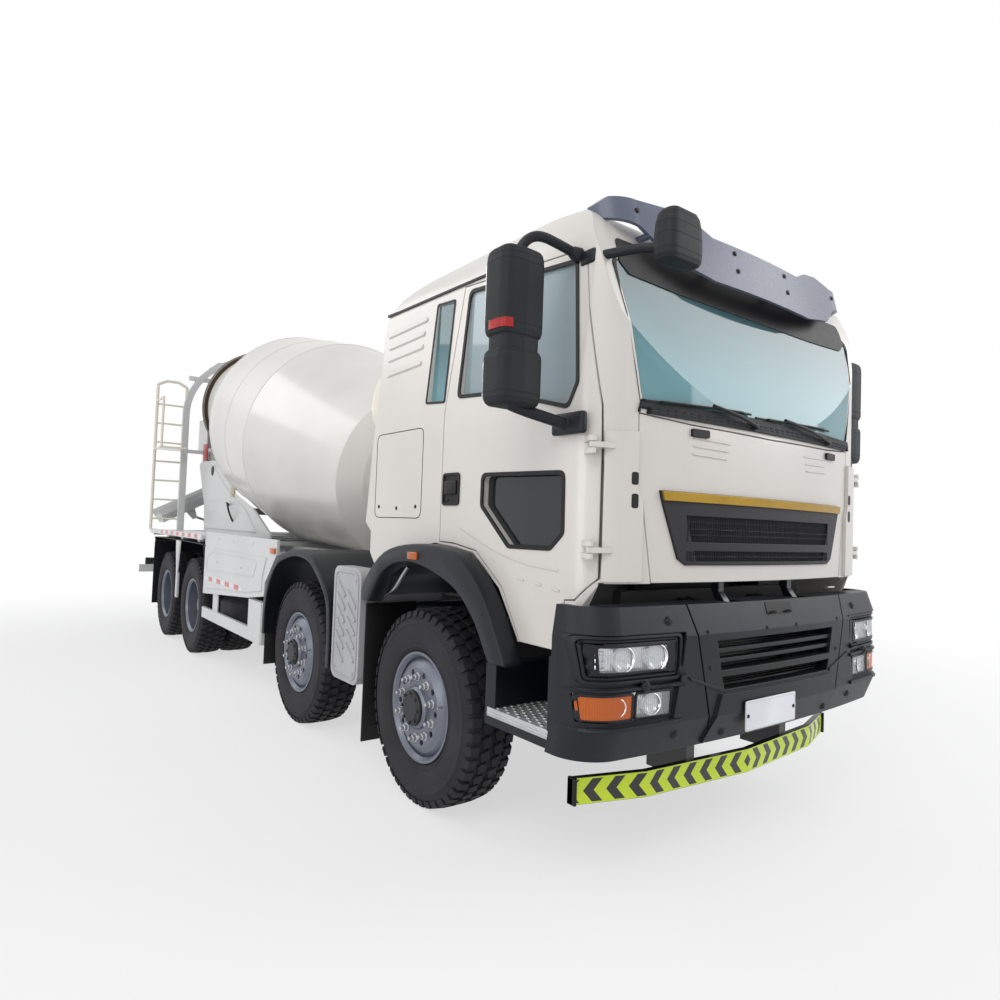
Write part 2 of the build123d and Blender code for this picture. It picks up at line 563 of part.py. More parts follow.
with BuildPart() as cab_shell:
    add(CAB_SOLID)
    add(CAB_HOLLOW, mode=Mode.SUBTRACT)
    # underside between the side skins
    plate_y([(2600, 900), (2600, 1380), (2700, 1440), (4180, 1440), (4230, 1340), (4600, 1340),
             (4600, 900)], (-1067, 1067), mode=Mode.SUBTRACT)
    # engine tunnel
    block((2620, 4360), (-490, 490), (1440, 1620))
    block((2400, 4300), (-430, 430), (900, 1560), mode=Mode.SUBTRACT)
    # wheel arches, doors, quarter windows
    for side in (-1, 1):
        plate_y(WHEEL_WELL, (side * 1030, side * 1200), mode=Mode.SUBTRACT)
        plate_y(grown(DOOR_SIDE, GAP), (side * 1030, side * 1200), mode=Mode.SUBTRACT)
        plate_y(REAR_WINDOW, (side * 1030, side * 1200), mode=Mode.SUBTRACT)
    # windscreen, rear window and the seat of the service panel
    plate_x(SCREEN, (4400, 4800), 60, mode=Mode.SUBTRACT)
    plate_x([(-500, 2250), (500, 2250), (500, 2700), (-500, 2700)], (2400, 2700), 60, mode=Mode.SUBTRACT)
    add(FLAP_SEAT, mode=Mode.SUBTRACT)
    # arms of the tilt hinge, under the front wall
    for side in (-1, 1):
        plate_y([(4606, 1345), (4650, 1345), (4650, 1290), (4704, 1218), (4704, 1188), (4692, 1176),
                 (4668, 1176), (4656, 1188), (4640, 1230), (4606, 1300)], (side * 280, side * 320))
    for side in (-1, 1):
        rod((TILT_X, side * 270, TILT_Z), (TILT_X, side * 330, TILT_Z), 15 + RUNNING_FIT,
            mode=Mode.SUBTRACT)
    # air deflectors: the corner panels stand proud of the front beside the flap
    for side in (-1, 1):
        add(corner_skin(side))
    # door hinges: the cab's leaf with its pin, between two leaves of the door
    for side in (-1, 1):
        for z in HINGE_LEVELS:
            plate_z(leaf(CAB_LEAF, side), (z + 26, z + 50))
            rod((DOOR_HINGE_X, side * DOOR_HINGE_Y, z), (DOOR_HINGE_X, side * DOOR_HINGE_Y, z + 76), 8)
save("cab_shell", cab_shell.part, "cab shell")

# Service flap over the front, with the seat of its grille
GRILLE = [(-782, 1745), (-770, 1700), (-670, 1445), (-620, 1417), (620, 1417), (670, 1445), (770, 1700),
          (782, 1745)]
with BuildPart() as front_panel:
    add(front_skin(FLAP, 0, 40))
    add(front_skin(GRILLE, -40, 22), mode=Mode.SUBTRACT)
save("front_panel", front_panel.part, "front service panel")

# Grille: a frame with two windows, their slats and the layer behind them
GRILLE_WINDOWS = (
    [(-590, 1522), (590, 1522), (625, 1640), (-625, 1640)],
    [(-560, 1435), (560, 1435), (572, 1482), (-572, 1482)],
)
with BuildPart() as grille:
    add(front_skin(grown(GRILLE, -1), -10, 21))
    for window in GRILLE_WINDOWS:
        add(front_skin(window, -40, 12), mode=Mode.SUBTRACT)
    for z in (1458, 1552, 1582, 1612):
        add(front_skin([(-600, z - 4), (600, z - 4), (600, z + 4), (-600, z + 4)], -2, 14))
save("grille", grille.part, "front grille")

for side, name in ((-1, "right"), (1, "left")):
    with BuildPart() as door:
        add(CAB_SOLID)
        plate_y(DOOR_SIDE, (side * 1000, side * 1200), mode=Mode.INTERSECT)
        block((3300, 4700), (side * 1068, side * -1200), (900, 3100), mode=Mode.SUBTRACT)
        plate_y(DOOR_WINDOW, (side * 1000, side * 1200), 30, mode=Mode.SUBTRACT)
        if side < 0:
            plate_y(LOW_WINDOW, (side * 1000, side * 1200), 30, mode=Mode.SUBTRACT)
        for z in HINGE_LEVELS:
            for low in (z, z + 52):
                plate_z(leaf(DOOR_LEAF, side), (low, low + 24))
            rod((DOOR_HINGE_X, side * DOOR_HINGE_Y, z), (DOOR_HINGE_X, side * DOOR_HINGE_Y, z + 76),
                8 + RUNNING_FIT, mode=Mode.SUBTRACT)
    save(f"door_{name}", door.part, f"{name} door")


# Glass of the cab: each pane fills its opening in the wall
with BuildPart() as cab_glass:
    add(CAB_SOLID)
    add(CAB_HOLLOW, mode=Mode.SUBTRACT)
    plate_x(grown(SCREEN, -2), (4400, 4800), 58, mode=Mode.INTERSECT)
    for side in (-1, 1):
        plate_y(grown(REAR_WINDOW, -1), (side * 1090, side * 1084))
    plate_x([(-498, 2252), (498, 2252), (498, 2698), (-498, 2698)], (2625, 2631), 58)
save("cab_glass", cab_glass.part, "cab windows")

for side, name in ((-1, "right"), (1, "left")):
    with BuildPart() as door_glass:
        plate_y(grown(DOOR_WINDOW, -1), (side * 1088, side * 1082), 29)
        if side < 0:
            plate_y(grown(LOW_WINDOW, -1), (side * 1088, side * 1082), 29)
    save(f"door_glass_{name}", door_glass.part, f"{name} door glass")

# Wheel arches of the cab
ARCH_OUT = [(2705, 1070), (2728, 1186), (2982, 1388), (3377, 1452), (3740, 1418),
            (3970, 1257), (4118, 1044), (4190, 925), (4050, 925), (3908, 1120), (3700, 1260),
            (3306, 1345), (2990, 1280), (2800, 1070)]
with BuildPart() as cab_arches:
    for side in (-1, 1):
        plate_y(ARCH_OUT, (side * 1130, side * 1240), 30)
        liner = [(2720, 1110), (2860, 1265), (3300, 1360), (3710, 1275), (3920, 1120), (3910, 1100),
                 (3700, 1255), (3300, 1340), (2870, 1250), (2732, 1095)]
        plate_y(liner, (side * 1135, side * 560))
save("cab_arches", cab_arches.part, "cab wheel arches")

# Sun visor over the windscreen, curved in plan, its ends swept up
VISOR_CORNER = (4450, 1035), (4540, 988), (4590, 860)
VISOR_NOSE = (4655, 0)
VISOR_LEAN = ((2700, 42), (3085, -50))
VISOR_FRONT = [(-1050, 2952), (-860, 2930), (-700, 2815), (-560, 2788), (-420, 2762), (420, 2762),
               (560, 2788), (700, 2815), (860, 2930), (1050, 2952), (1045, 3000), (990, 3052),
               (640, 3070), (500, 3050), (380, 2998), (-380, 2998), (-500, 3050), (-640, 3070),
               (-990, 3052), (-1045, 3000)]
with BuildPart() as sun_visor:
    rings = []
    for z, lean in VISOR_LEAN:
        with BuildSketch(Plane.XY.offset(z)) as ring:
            with BuildLine():
                for back, k in ((0, 1.0), (18, 0.985)):
                    a, b, c, nose = [(x + lean - back, y * k) for x, y in (*VISOR_CORNER, VISOR_NOSE)]
                    for side in (-1, 1):
                        ThreePointArc(*[(x, side * y) for x, y in (a, b, c)])
                    ThreePointArc((c[0], -c[1]), nose, c)
                for side in (-1, 1):
                    x, y = VISOR_CORNER[0]
                    Line((x + lean, side * y), (x + lean - 18, side * y * 0.985))
            make_face()
        rings.append(ring.sketch)
    loft(rings, ruled=True)
    plate_x(VISOR_FRONT, (4400, 4900), mode=Mode.INTERSECT)
    for y, reach in ((-800, 4588), (-270, 4636), (270, 4636), (800, 4588)):
        block((4440, reach), (y - 15, y + 15), (2890, 2910))
    add(CAB_SOLID, mode=Mode.SUBTRACT)
save("sun_visor", sun_visor.part, "sun visor")

# Front down-view mirror on the right, on its arm from the windscreen pillar
with BuildPart() as front_mirror:
    plate_z([(4792, -1035), (4850, -1045), (4900, -1000), (4900, -850), (4850, -805), (4792, -815)],
            (2655, 2880), 15)
    rod((4520, -1075, 2745), (4700, -1000, 2750), 22)
    rod((4700, -1000, 2750), (4800, -930, 2740), 22)
    add(CAB_SOLID, mode=Mode.SUBTRACT)
save("front_mirror", front_mirror.part, "front down-view mirror")

# Cab inside: seats, bunk, dashboard and steering wheel
with BuildPart() as cab_interior:
    for y in (-640, 640):
        block((3350, 3850), (y - 250, y + 250), (1660, 1780))
        block((3270, 3390), (y - 250, y + 250), (1700, 2450))
        block((3450, 3750), (y - 140, y + 140), (1500, 1660))
    block((2610, 3100), (-1000, 1000), (1620, 1820))
    plate_y([(4585, 1950), (4330, 1950), (4230, 1830), (4330, 1640), (4585, 1640)], (-1000, 1000), 30)
    add(CAB_HOLLOW, mode=Mode.INTERSECT)
    rod((4330, 560, 1870), (4080, 560, 2010), 30)
save("cab_interior", cab_interior.part, "seats, bunk and dashboard")

# Bumper: plan outline lofted through four levels, with lamp pockets and air openings
BUMPER_BACK = (4500, 1240)
BUMPER_CORNER = (4553, 1240), (4677, 1188), (4736, 1070)
BUMPER_FRONT = (4795, 0)
BUMPER_LEVELS = ((630, -45, 0.985), (760, 0, 1.0), (1120, 0, 1.0), (1250, -40, 0.985))
LAMP_POCKET = [(705, 1138), (1300, 1142), (1300, 925), (735, 930)]
HEADLAMP = [(757, 972), (752, 1106), (1205, 1108), (1190, 975)]
FOG_POCKET = [(745, 918), (1300, 918), (1300, 775), (775, 778)]
FOG_LAMP = [(785, 793), (780, 906), (1225, 906), (1215, 795)]

with BuildPart() as bumper_volume:
    rings = []
    for z, dx, k in BUMPER_LEVELS:
        back, a, b, c, front = [(x + dx, y * k) for x, y in (BUMPER_BACK, *BUMPER_CORNER, BUMPER_FRONT)]
        with BuildSketch(Plane.XY.offset(z)) as ring:
            with BuildLine():
                for side in (-1, 1):
                    Line((back[0], side * back[1]), (a[0], side * a[1]))
                    ThreePointArc(*[(x, side * y) for x, y in (a, b, c)])
                ThreePointArc((c[0], -c[1]), front, c)
                Line((back[0], back[1]), (back[0], -back[1]))
            make_face()
        rings.append(ring.sketch)
    loft(rings, ruled=True)
BUMPER_SOLID = bumper_volume.part


def bumper_skin(outline, outer, inner):
    """Layer of the bumper's front inside an outline in y and z, between two depths."""
    with BuildPart() as layer:
        add(Pos(-outer, 0, 0) * BUMPER_SOLID)
        plate_x(outline, (4520, 4850), mode=Mode.INTERSECT)
        add(Pos(-inner, 0, 0) * BUMPER_SOLID, mode=Mode.SUBTRACT)
    return layer.part


with BuildPart() as bumper:
    add(BUMPER_SOLID)
    plate_z([(4380, -1180), (4600, -1175), (4660, -1095), (4712, -690), (4735, 0), (4712, 690),
             (4660, 1095), (4600, 1175), (4380, 1180)], (600, 1236), mode=Mode.SUBTRACT)
    block((4380, 4602), (-1178, 1178), (1200, 1260), mode=Mode.SUBTRACT)
    block((4380, 4500), (-1260, 1260), (1110, 1260), mode=Mode.SUBTRACT)
    for side in (-1, 1):
        add(bumper_skin(on_side(LAMP_POCKET, side), -30, 24), mode=Mode.SUBTRACT)
        add(bumper_skin(on_side(FOG_POCKET, side), -30, 14), mode=Mode.SUBTRACT)
        plate_x(on_side(HEADLAMP, side), (4560, 4850), mode=Mode.SUBTRACT)
        plate_x(on_side(FOG_LAMP, side), (4560, 4850), mode=Mode.SUBTRACT)
        seam = [(664, 1260), (674, 1260), (522, 620), (512, 620)]
        add(bumper_skin(on_side(seam, side), -30, 12), mode=Mode.SUBTRACT)
        block((4420, 4560), (side * 1181, side * 1134), (700, 1015))
        block((4400, 4725), (side * 431, side * 380), (870, 950))
        block((4590, 4728), (side * 245, side * 355), (1150, 1260), mode=Mode.SUBTRACT)
    # centre: upper opening with two slats, slot below it, raised plate carrier
    plate_x([(-505, 1090), (505, 1090), (475, 955), (-475, 955)], (4600, 4850), mode=Mode.SUBTRACT)
    plate_x([(-470, 925), (470, 925), (450, 868), (-450, 868)], (4600, 4850), mode=Mode.SUBTRACT)
    for z in (996, 1042):
        add(bumper_skin([(-510, z - 9), (510, z - 9), (510, z + 9), (-510, z + 9)], 12, 50))
    add(bumper_skin([(-480, 850), (480, 850), (560, 640), (-560, 640)], -14, 20))
save("bumper", bumper.part, "front bumper")

with BuildPart() as lamps:
    for side in (-1, 1):
        add(bumper_skin(grown(on_side(HEADLAMP, side), -1), 14, 50))
        add(bumper_skin(grown(on_side(FOG_LAMP, side), -1), 10, 50))
        block((-4849, -4801), (side * 700, side * 1150), (801, 900))
save("lamps", lamps.part, "front and rear lamps")

with BuildPart() as underrun_bar:
    plate_z([(4450, -1050), (4560, -700), (4620, 0), (4560, 700), (4450, 1050), (4420, 1050),
             (4530, 690), (4590, 0), (4530, -690), (4420, -1050)], (370, 485))
    for y in (-400, 400):
        block((4330, 4570), (y - 30, y + 30), (400, 760))
save("underrun_bar", underrun_bar.part, "front underrun bar")

with BuildPart() as step_boxes:
    for side in (-1, 1):
        block((3930, 4490), (side * 760, side * 1150), (610, 690))
        block((3930, 4490), (side * 760, side * 820), (690, 900))
        block((3930, 4010), (side * 760, side * 1150), (690, 900))
        block((4200, 4300), (side * 431, side * 760), (800, 880))
save("step_boxes", step_boxes.part, "cab steps")

# Side skirts, and guard bars with their wide front posts
SKIRT = [(-1130, 735), (400, 845), (830, 900), (836, 1010), (925, 1090), (1095, 1262), (1100, 1385),
         (-1130, 1395)]
with BuildPart() as side_skirts:
    for side in (-1, 1):
        plate_y(SKIRT, (side * 1195, side * 1220))
        plate_y([(-1075, 800), (360, 890), (780, 940), (780, 1050), (870, 1230), (-800, 1230),
                 (-1000, 1180), (-1075, 1040)], (side * 1220, side * 1228))
        block((-1130, 480), (side * 1190, side * 1222), (485, 595))
        block((470, 810), (side * 1185, side * 1230), (490, 845))
        block((800, 825), (side * 900, side * 1222), (490, 845))
        block((-820, -640), (side * 1183, side * 1195), (500, 1340))
        for x in (-900, -200, 590):
            block((x - 30, x + 30), (side * 431, side * 1195), (1185, 1225))
save("side_skirts", side_skirts.part, "side skirts and guard bars")

# Mudguards of the second axle and of the bogie, with flaps
SECOND_ARCH = [(850, 600), (862, 860), (960, 1080), (1130, 1240), (1420, 1318), (1640, 1330),
               (1860, 1290), (2080, 1150), (2200, 1010), (2236, 800), (2236, 560)]
BOGIE_ARCH = [(-3790, 340), (-3790, 1100), (-3740, 1215), (-3640, 1256), (-1300, 1256), (-1182, 1215),
              (-1136, 1110), (-1136, 1000)]


def strip(points, width):
    """Open run of points widened inward into a closed outline."""
    return points + grown(points, -width)[::-1]


with BuildPart() as mudguards:
    for side in (-1, 1):
        # second axle: lip, skin and flap
        plate_y(strip(SECOND_ARCH, 52), (side * 1216, side * 1232))
        plate_y(strip(SECOND_ARCH, 10), (side * 1217, side * 640))
        block((838, 848), (side * 1200, side * 830), (336, 700))
        # bogie: flat roof turned down at both ends, rear flap, bracket between the wheels
        plate_y(strip(BOGIE_ARCH, 8), (side * 1225, side * 560))
        plate_y([(-2500, 1250), (-2270, 1250), (-2350, 860), (-2420, 860)], (side * 1210, side * 1225))
        block((-2420, -2350), (side * 1195, side * 1225), (560, 862))
        # first axle: flap behind the wheel
        block((2684, 2696), (side * 1190, side * 830), (190, 1050))
        block((2640, 2684), (side * 431, side * 860), (1000, 1040))
        for x in (900, 2060):
            block((x - 25, x + 25), (side * 431, side * 650), (1010, 1060))
        for x in (-1200, -2385, -3700):
            block((x - 30, x + 30), (side * 431, side * 640), (1180, 1249))
save("mudguards", mudguards.part, "mudguards and flaps")

# Deck beside the pedestal, marker rail, rear bar
with BuildPart() as rear_deck:
    for side in (-1, 1):
        block((-4060, -1175), (side * 741, side * 1238), (1311, DECK_TOP))
        block((-3970, -1175), (side * 1238, side * 1250), (1300, 1362))
        block((-4060, -3990), (side * 345, side * 741), (1311, DECK_TOP))
        block((-4050, -4000), (side * 345, side * 1200), (SUBFRAME_TOP, 1311))
        block((-4800, -4481), (side * 345, side * 425), (700, 1000))
    block((-4850, -4800), (-1230, 1230), (690, 800))
save("rear_deck", rear_deck.part, "rear deck and rear bar")

# Ladder, its guard rail and platform on the right of the arch
LADDER_X = -4000.0
with BuildPart() as ladder:
    for y in (-1250, -870):
        rod((LADDER_X, y, DECK_TOP), (LADDER_X, y, 3400), 20)
        rod((LADDER_X, y, 3400), (LADDER_X, y * 0.4 - 636, 3460), 20)
    rod((LADDER_X, -1136, 3460), (LADDER_X, -984, 3460), 20)
    for i in range(7):
        z = 1500 + 270 * i
        rod((LADDER_X, -1250, z), (LADDER_X, -870, z), 13)
    rod((LADDER_X, -1250, 3160), (-3560, -1250, 3160), 16)
    rod((-3560, -1250, 3160), (-3560, -1250, 2480), 16)
    rod((LADDER_X, -1250, 2480), (-3560, -1250, 2480), 16)
    block((-3990, -3560), (-1250, -930), (2470, 2495))
save("ladder", ladder.part, "access ladder")

# Water tank behind the cab
with BuildPart() as water_tank:
    plane = Plane(origin=(2275, 0, 2410), x_dir=(0, 1, 0), z_dir=(1, 0, 0))
    profile = [(-930, 0), (-930, 120), (-905, 205), (-860, 250), (860, 250), (905, 205), (930, 120), (930, 0)]
    revolve(face(plane, profile), axis=Axis((2275, 0, 2410), (0, 1, 0)))
    for side in (-1, 1):
        block((2180, 2245), (side * 350, side * 420), (SUBFRAME_TOP, 2250))
save("water_tank", water_tank.part, "water tank")

# Door mirrors: two rounded housings, turn lamp between them, curved arms above and below
MIRROR_PLAN = [(4290, 1300), (4300, 1288), (4420, 1285), (4452, 1330), (4462, 1400), (4452, 1470),
               (4420, 1512), (4300, 1510), (4290, 1500)]
for side, name in ((-1, "right"), (1, "left")):
    housing = [(x, side * y) for x, y in MIRROR_PLAN]
    waist = [(x - 6, side * (1400 + (y - 1400) * 0.9)) for x, y in MIRROR_PLAN]
    with BuildPart() as mirror:
        plate_z(housing, (2350, 2700))
        plate_z(waist, (2290, 2352))
        plate_z(housing, (2090, 2292))
        plate_z(waist, (2060, 2092))
        plate_z(waist, (2698, 2722))
        for start, end, radius in (((4390, 1400, 2735), (4420, 1300, 2800), 24),
                                   ((4420, 1300, 2800), (4440, 1080, 2760), 26),
                                   ((4380, 1390, 2070), (4420, 1250, 2030), 24),
                                   ((4420, 1250, 2030), (4450, 1120, 2010), 30)):
            rod((start[0], side * start[1], start[2]), (end[0], side * end[1], end[2]), radius)
        block((4360, 4560), (side * 1126, side * 1165), (1965, 2065))
    with BuildPart() as arm_free:
        add(mirror.part)
        add(CAB_SOLID, mode=Mode.SUBTRACT)
    save(f"mirror_{name}", arm_free.part, f"{name} door mirror")

# Steering knuckles: yoke, kingpin and wheel spindle
KNUCKLES = ((AXLE_1, -1, "1_right"), (AXLE_1, 1, "1_left"), (AXLE_2, -1, "2_right"), (AXLE_2, 1, "2_left"))
for x, side, name in KNUCKLES:
    with BuildPart() as knuckle:
        y = side * KINGPIN_Y
        rod((x, y, 440), (x, y, 640), KINGPIN_R)
        block((x - 45, x + 45), (y - 45, y + 45), (440, 487))
        block((x - 45, x + 45), (y - 45, y + 45), (593, 640))
        block((x - 45, x + 45), (side * 934, side * 960), (440, 640))
        block((x - 45, x + 45), (side * 924, side * 936), (440, 487))
        block((x - 45, x + 45), (side * 924, side * 936), (593, 640))
        rod((x, side * 950, HUB_Z), (x, side * 1090, HUB_Z), SPINDLE_R)
    save(f"knuckle_{name}", knuckle.part, f"steering knuckle {name.replace('_', ' ')}")

# Wheels: outlines as (distance outward from the tyre's middle, radius)
TYRE = [(-111, 286), (-111, RIM_R + 2), (-140, 330), (-150, 400), (-147, 470), (-122, 528), (-60, TYRE_R),
        (60, TYRE_R), (122, 528), (147, 470), (150, 400), (140, 330), (111, RIM_R + 2), (111, 286)]
RIM = [(-131, RIM_R), (-112, RIM_R), (-112, 285), (112, 285), (112, RIM_R), (131, RIM_R), (131, 288),
       (110, 272), (-110, 272), (-131, 288)]
FRONT_HUB = [(92, 273), (120, 245), (140, 215), (140, 120), (150, 118), (185, 70), (185, 0), (83, 0),
             (83, SPINDLE_R + RUNNING_FIT), (-50, SPINDLE_R + RUNNING_FIT), (-50, 110), (20, 110),
             (128, 120), (128, 210), (110, 235), (80, 273)]
TWIN_HUB = [(-26, 273), (-70, 262), (-160, 215), (-160, 118), (-40, 105), (40, 90), (60, 70), (60, 0),
            (-50, 0), (-50, SPINDLE_R + RUNNING_FIT), (-380, SPINDLE_R + RUNNING_FIT), (-380, 205),
            (-250, 205), (-250, 215), (-190, 215), (-260, 262), (-300, 273), (-310, 262), (-270, 252),
            (-180, 205), (-178, 216), (-85, 268), (-36, 273)]


def hand_holes(x, y, count, circle, radius):
    """Ring of round holes through a wheel's disc."""
    with BuildSketch(Plane(origin=(x, y, HUB_Z), x_dir=(1, 0, 0), z_dir=(0, 1, 0))) as holes:
        with PolarLocations(circle, count):
            Circle(radius)
    extrude(holes.sketch, amount=120, both=True, mode=Mode.SUBTRACT)


def turned_wheel(x, y, side, outline, mode=Mode.ADD):
    """Outline turned about a wheel's axle, its first value counted outward."""
    turned_y(x, y, HUB_Z, [(side * a, r) for a, r in outline], mode=mode)


for x, side, name in KNUCKLES:
    y = side * FRONT_WHEEL_Y
    with BuildPart() as tyre:
        turned_wheel(x, y, side, TYRE)
    save(f"tyre_{name}", tyre.part, f"tyre {name.replace('_', ' ')}")
    with BuildPart() as wheel:
        turned_wheel(x, y, side, RIM)
        turned_wheel(x, y, side, FRONT_HUB)
        hand_holes(x, y + side * 125, 10, 190, 17)
    save(f"wheel_{name}", wheel.part, f"wheel {name.replace('_', ' ')}")

TWINS = ((AXLE_3, -1, "3_right"), (AXLE_3, 1, "3_left"), (AXLE_4, -1, "4_right"), (AXLE_4, 1, "4_left"))
for x, side, name in TWINS:
    with BuildPart() as tyre:
        for y in (TWIN_OUTER_Y, TWIN_INNER_Y):
            turned_wheel(x, side * y, side, TYRE)
    save(f"tyre_{name}", tyre.part, f"twin tyres {name.replace('_', ' ')}")
    with BuildPart() as wheel:
        for y in (TWIN_OUTER_Y, TWIN_INNER_Y):
            turned_wheel(x, side * y, side, RIM)
        turned_wheel(x, side * TWIN_OUTER_Y, side, TWIN_HUB)
    save(f"wheel_{name}", wheel.part, f"twin wheels {name.replace('_', ' ')}")
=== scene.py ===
"""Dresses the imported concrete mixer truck: finishes, tyres, trim, lamps and studio."""

import json
import logging
import math
from dataclasses import dataclass
from enum import Enum
from typing import Optional, Sequence

import bmesh
import bpy
from mathutils import Matrix, Vector
from mathutils.bvhtree import BVHTree

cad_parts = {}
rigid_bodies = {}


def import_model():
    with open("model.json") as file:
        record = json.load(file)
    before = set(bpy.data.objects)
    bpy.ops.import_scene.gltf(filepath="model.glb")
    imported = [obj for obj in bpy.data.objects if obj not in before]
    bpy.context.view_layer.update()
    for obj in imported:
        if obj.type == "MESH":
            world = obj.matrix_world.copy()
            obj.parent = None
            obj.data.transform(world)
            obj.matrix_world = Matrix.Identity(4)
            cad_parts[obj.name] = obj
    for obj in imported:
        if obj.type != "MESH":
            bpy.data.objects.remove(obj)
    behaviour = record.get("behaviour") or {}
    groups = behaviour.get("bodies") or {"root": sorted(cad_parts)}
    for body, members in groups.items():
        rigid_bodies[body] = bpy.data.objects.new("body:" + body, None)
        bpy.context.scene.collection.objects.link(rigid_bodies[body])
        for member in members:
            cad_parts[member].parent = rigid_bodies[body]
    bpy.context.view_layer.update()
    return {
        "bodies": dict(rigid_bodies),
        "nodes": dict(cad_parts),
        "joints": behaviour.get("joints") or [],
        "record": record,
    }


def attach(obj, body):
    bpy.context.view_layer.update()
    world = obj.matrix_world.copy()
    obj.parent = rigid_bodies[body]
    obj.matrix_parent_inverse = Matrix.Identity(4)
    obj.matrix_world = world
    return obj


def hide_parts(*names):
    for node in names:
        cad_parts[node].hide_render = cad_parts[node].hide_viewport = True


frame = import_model()
NODES = frame["nodes"]
log = logging.getLogger("mixer_truck")

Colour = tuple[float, float, float]
Spot = tuple[float, float, float]
Flat = tuple[float, float]
Outline = tuple[Flat, ...]
Run = tuple[Spot, ...]

HUB_Z = 0.54  # height of the wheels' centres, and the tyres' radius
FRONT_X = 4.66  # where the cab's front counts as standing if a ray meets nothing


class Facing(Enum):
    """Side of the truck that a laid-on piece looks at."""

    FRONT = (1.0, 0.0, 0.0)
    RIGHT = (0.0, -1.0, 0.0)
    LEFT = (0.0, 1.0, 0.0)

    def place(self, a: float, b: float, depth: float = 0.0) -> Vector:
        """Point of the row frame from the two values seen from this side and a depth."""
        return Vector((depth, a, b) if self is Facing.FRONT else (a, depth, b))

    @property
    def axis(self) -> int:
        """Number of the axis that it looks along."""
        return 0 if self is Facing.FRONT else 1

    @property
    def out(self) -> Vector:
        """Unit vector away from the truck."""
        return Vector(self.value)


SIDES = ((-1, Facing.RIGHT, "right"), (1, Facing.LEFT, "left"))


class Field:
    """A value that varies over a surface; arithmetic on it adds Math nodes."""

    def __init__(self, shader: "Tree", socket: bpy.types.NodeSocket) -> None:
        """Wraps an output socket of a shader's tree."""
        self.shader = shader
        self.socket = socket

    def math(self, operation: str, *others: "Field | float", flip: bool = False) -> "Field":
        """Adds one Math node.

        Args:
            operation: the Math node's operation.
            others: the other values, fields or numbers.
            flip: whether this field comes last.

        Returns:
            The node's result.
        """
        values = [*others, self] if flip else [self, *others]
        return self.shader.node("ShaderNodeMath", {"operation": operation}, *values)

    def __add__(self, other: "Field | float") -> "Field":
        """Sum."""
        return self.math("ADD", other)

    def __sub__(self, other: "Field | float") -> "Field":
        """Difference."""
        return self.math("SUBTRACT", other)

    def __rsub__(self, other: float) -> "Field":
        """Difference from a number."""
        return self.math("SUBTRACT", other, flip=True)

    def __mul__(self, other: "Field | float") -> "Field":
        """Product."""
        return self.math("MULTIPLY", other)

    def __truediv__(self, other: "Field | float") -> "Field":
        """Quotient."""
        return self.math("DIVIDE", other)

    def __pow__(self, other: float) -> "Field":
        """Power."""
        return self.math("POWER", other)

    def __lt__(self, other: "Field | float") -> "Field":
        """One where this field is the lower."""
        return self.math("LESS_THAN", other)

    def __gt__(self, other: "Field | float") -> "Field":
        """One where this field is the higher."""
        return self.math("GREATER_THAN", other)

    def __abs__(self) -> "Field":
        """Absolute value."""
        return self.math("ABSOLUTE")

    __radd__ = __add__
    __rmul__ = __mul__

    def turns(self) -> "Field":
        """Fraction left over whole numbers."""
        return self.math("FRACT")

    def wave(self) -> "Field":
        """Triangle wave of period one, from nought to one."""
        return abs(self.turns() * 2.0 - 1.0)

    def between(self, low: float, high: float) -> "Field":
        """Smooth step from nought at low to one at high."""
        settings = {"interpolation_type": "SMOOTHSTEP"}
        return self.shader.node("ShaderNodeMapRange", settings, self, low, high, 0.0, 1.0)


class Tree:
    """A node tree under construction."""

    def __init__(self, nodes: bpy.types.NodeTree) -> None:
        """Wraps a tree."""
        self.tree = nodes

    def feed(self, socket: bpy.types.NodeSocket, value: object) -> None:
        """Links a field to a socket, or sets its value."""
        if isinstance(value, Field):
            self.tree.links.new(value.socket, socket)
        else:
            socket.default_value = value

    def node(self, kind: str, settings: Optional[dict] = None, *values: object,
             out: int | str = 0, **named: object) -> Field:
        """Adds any node.

        Args:
            kind: the node's type.
            settings: its own properties, set first.
            values: values or links of its first sockets, None to leave one.
            out: the output that is wanted.
            named: values or links of sockets by name.

        Returns:
            The wanted output.
        """
        made = self.tree.nodes.new(kind)
        for name, value in (settings or {}).items():
            setattr(made, name, value)
        for socket, value in zip(made.inputs, values):
            if value is not None:
                self.feed(socket, value)
        for name, value in named.items():
            self.feed(made.inputs[name.replace("_", " ")], value)
        return Field(self, made.outputs[out])

    def beheld(self) -> Field:
        """One for rays from the camera, in mirrors and through glass."""
        camera = self.node("ShaderNodeLightPath", out="Is Camera Ray")
        rays = camera.socket.node.outputs
        mirrored = camera.math("MAXIMUM", Field(self, rays["Is Glossy Ray"]))
        return mirrored.math("MAXIMUM", Field(self, rays["Is Transmission Ray"]))


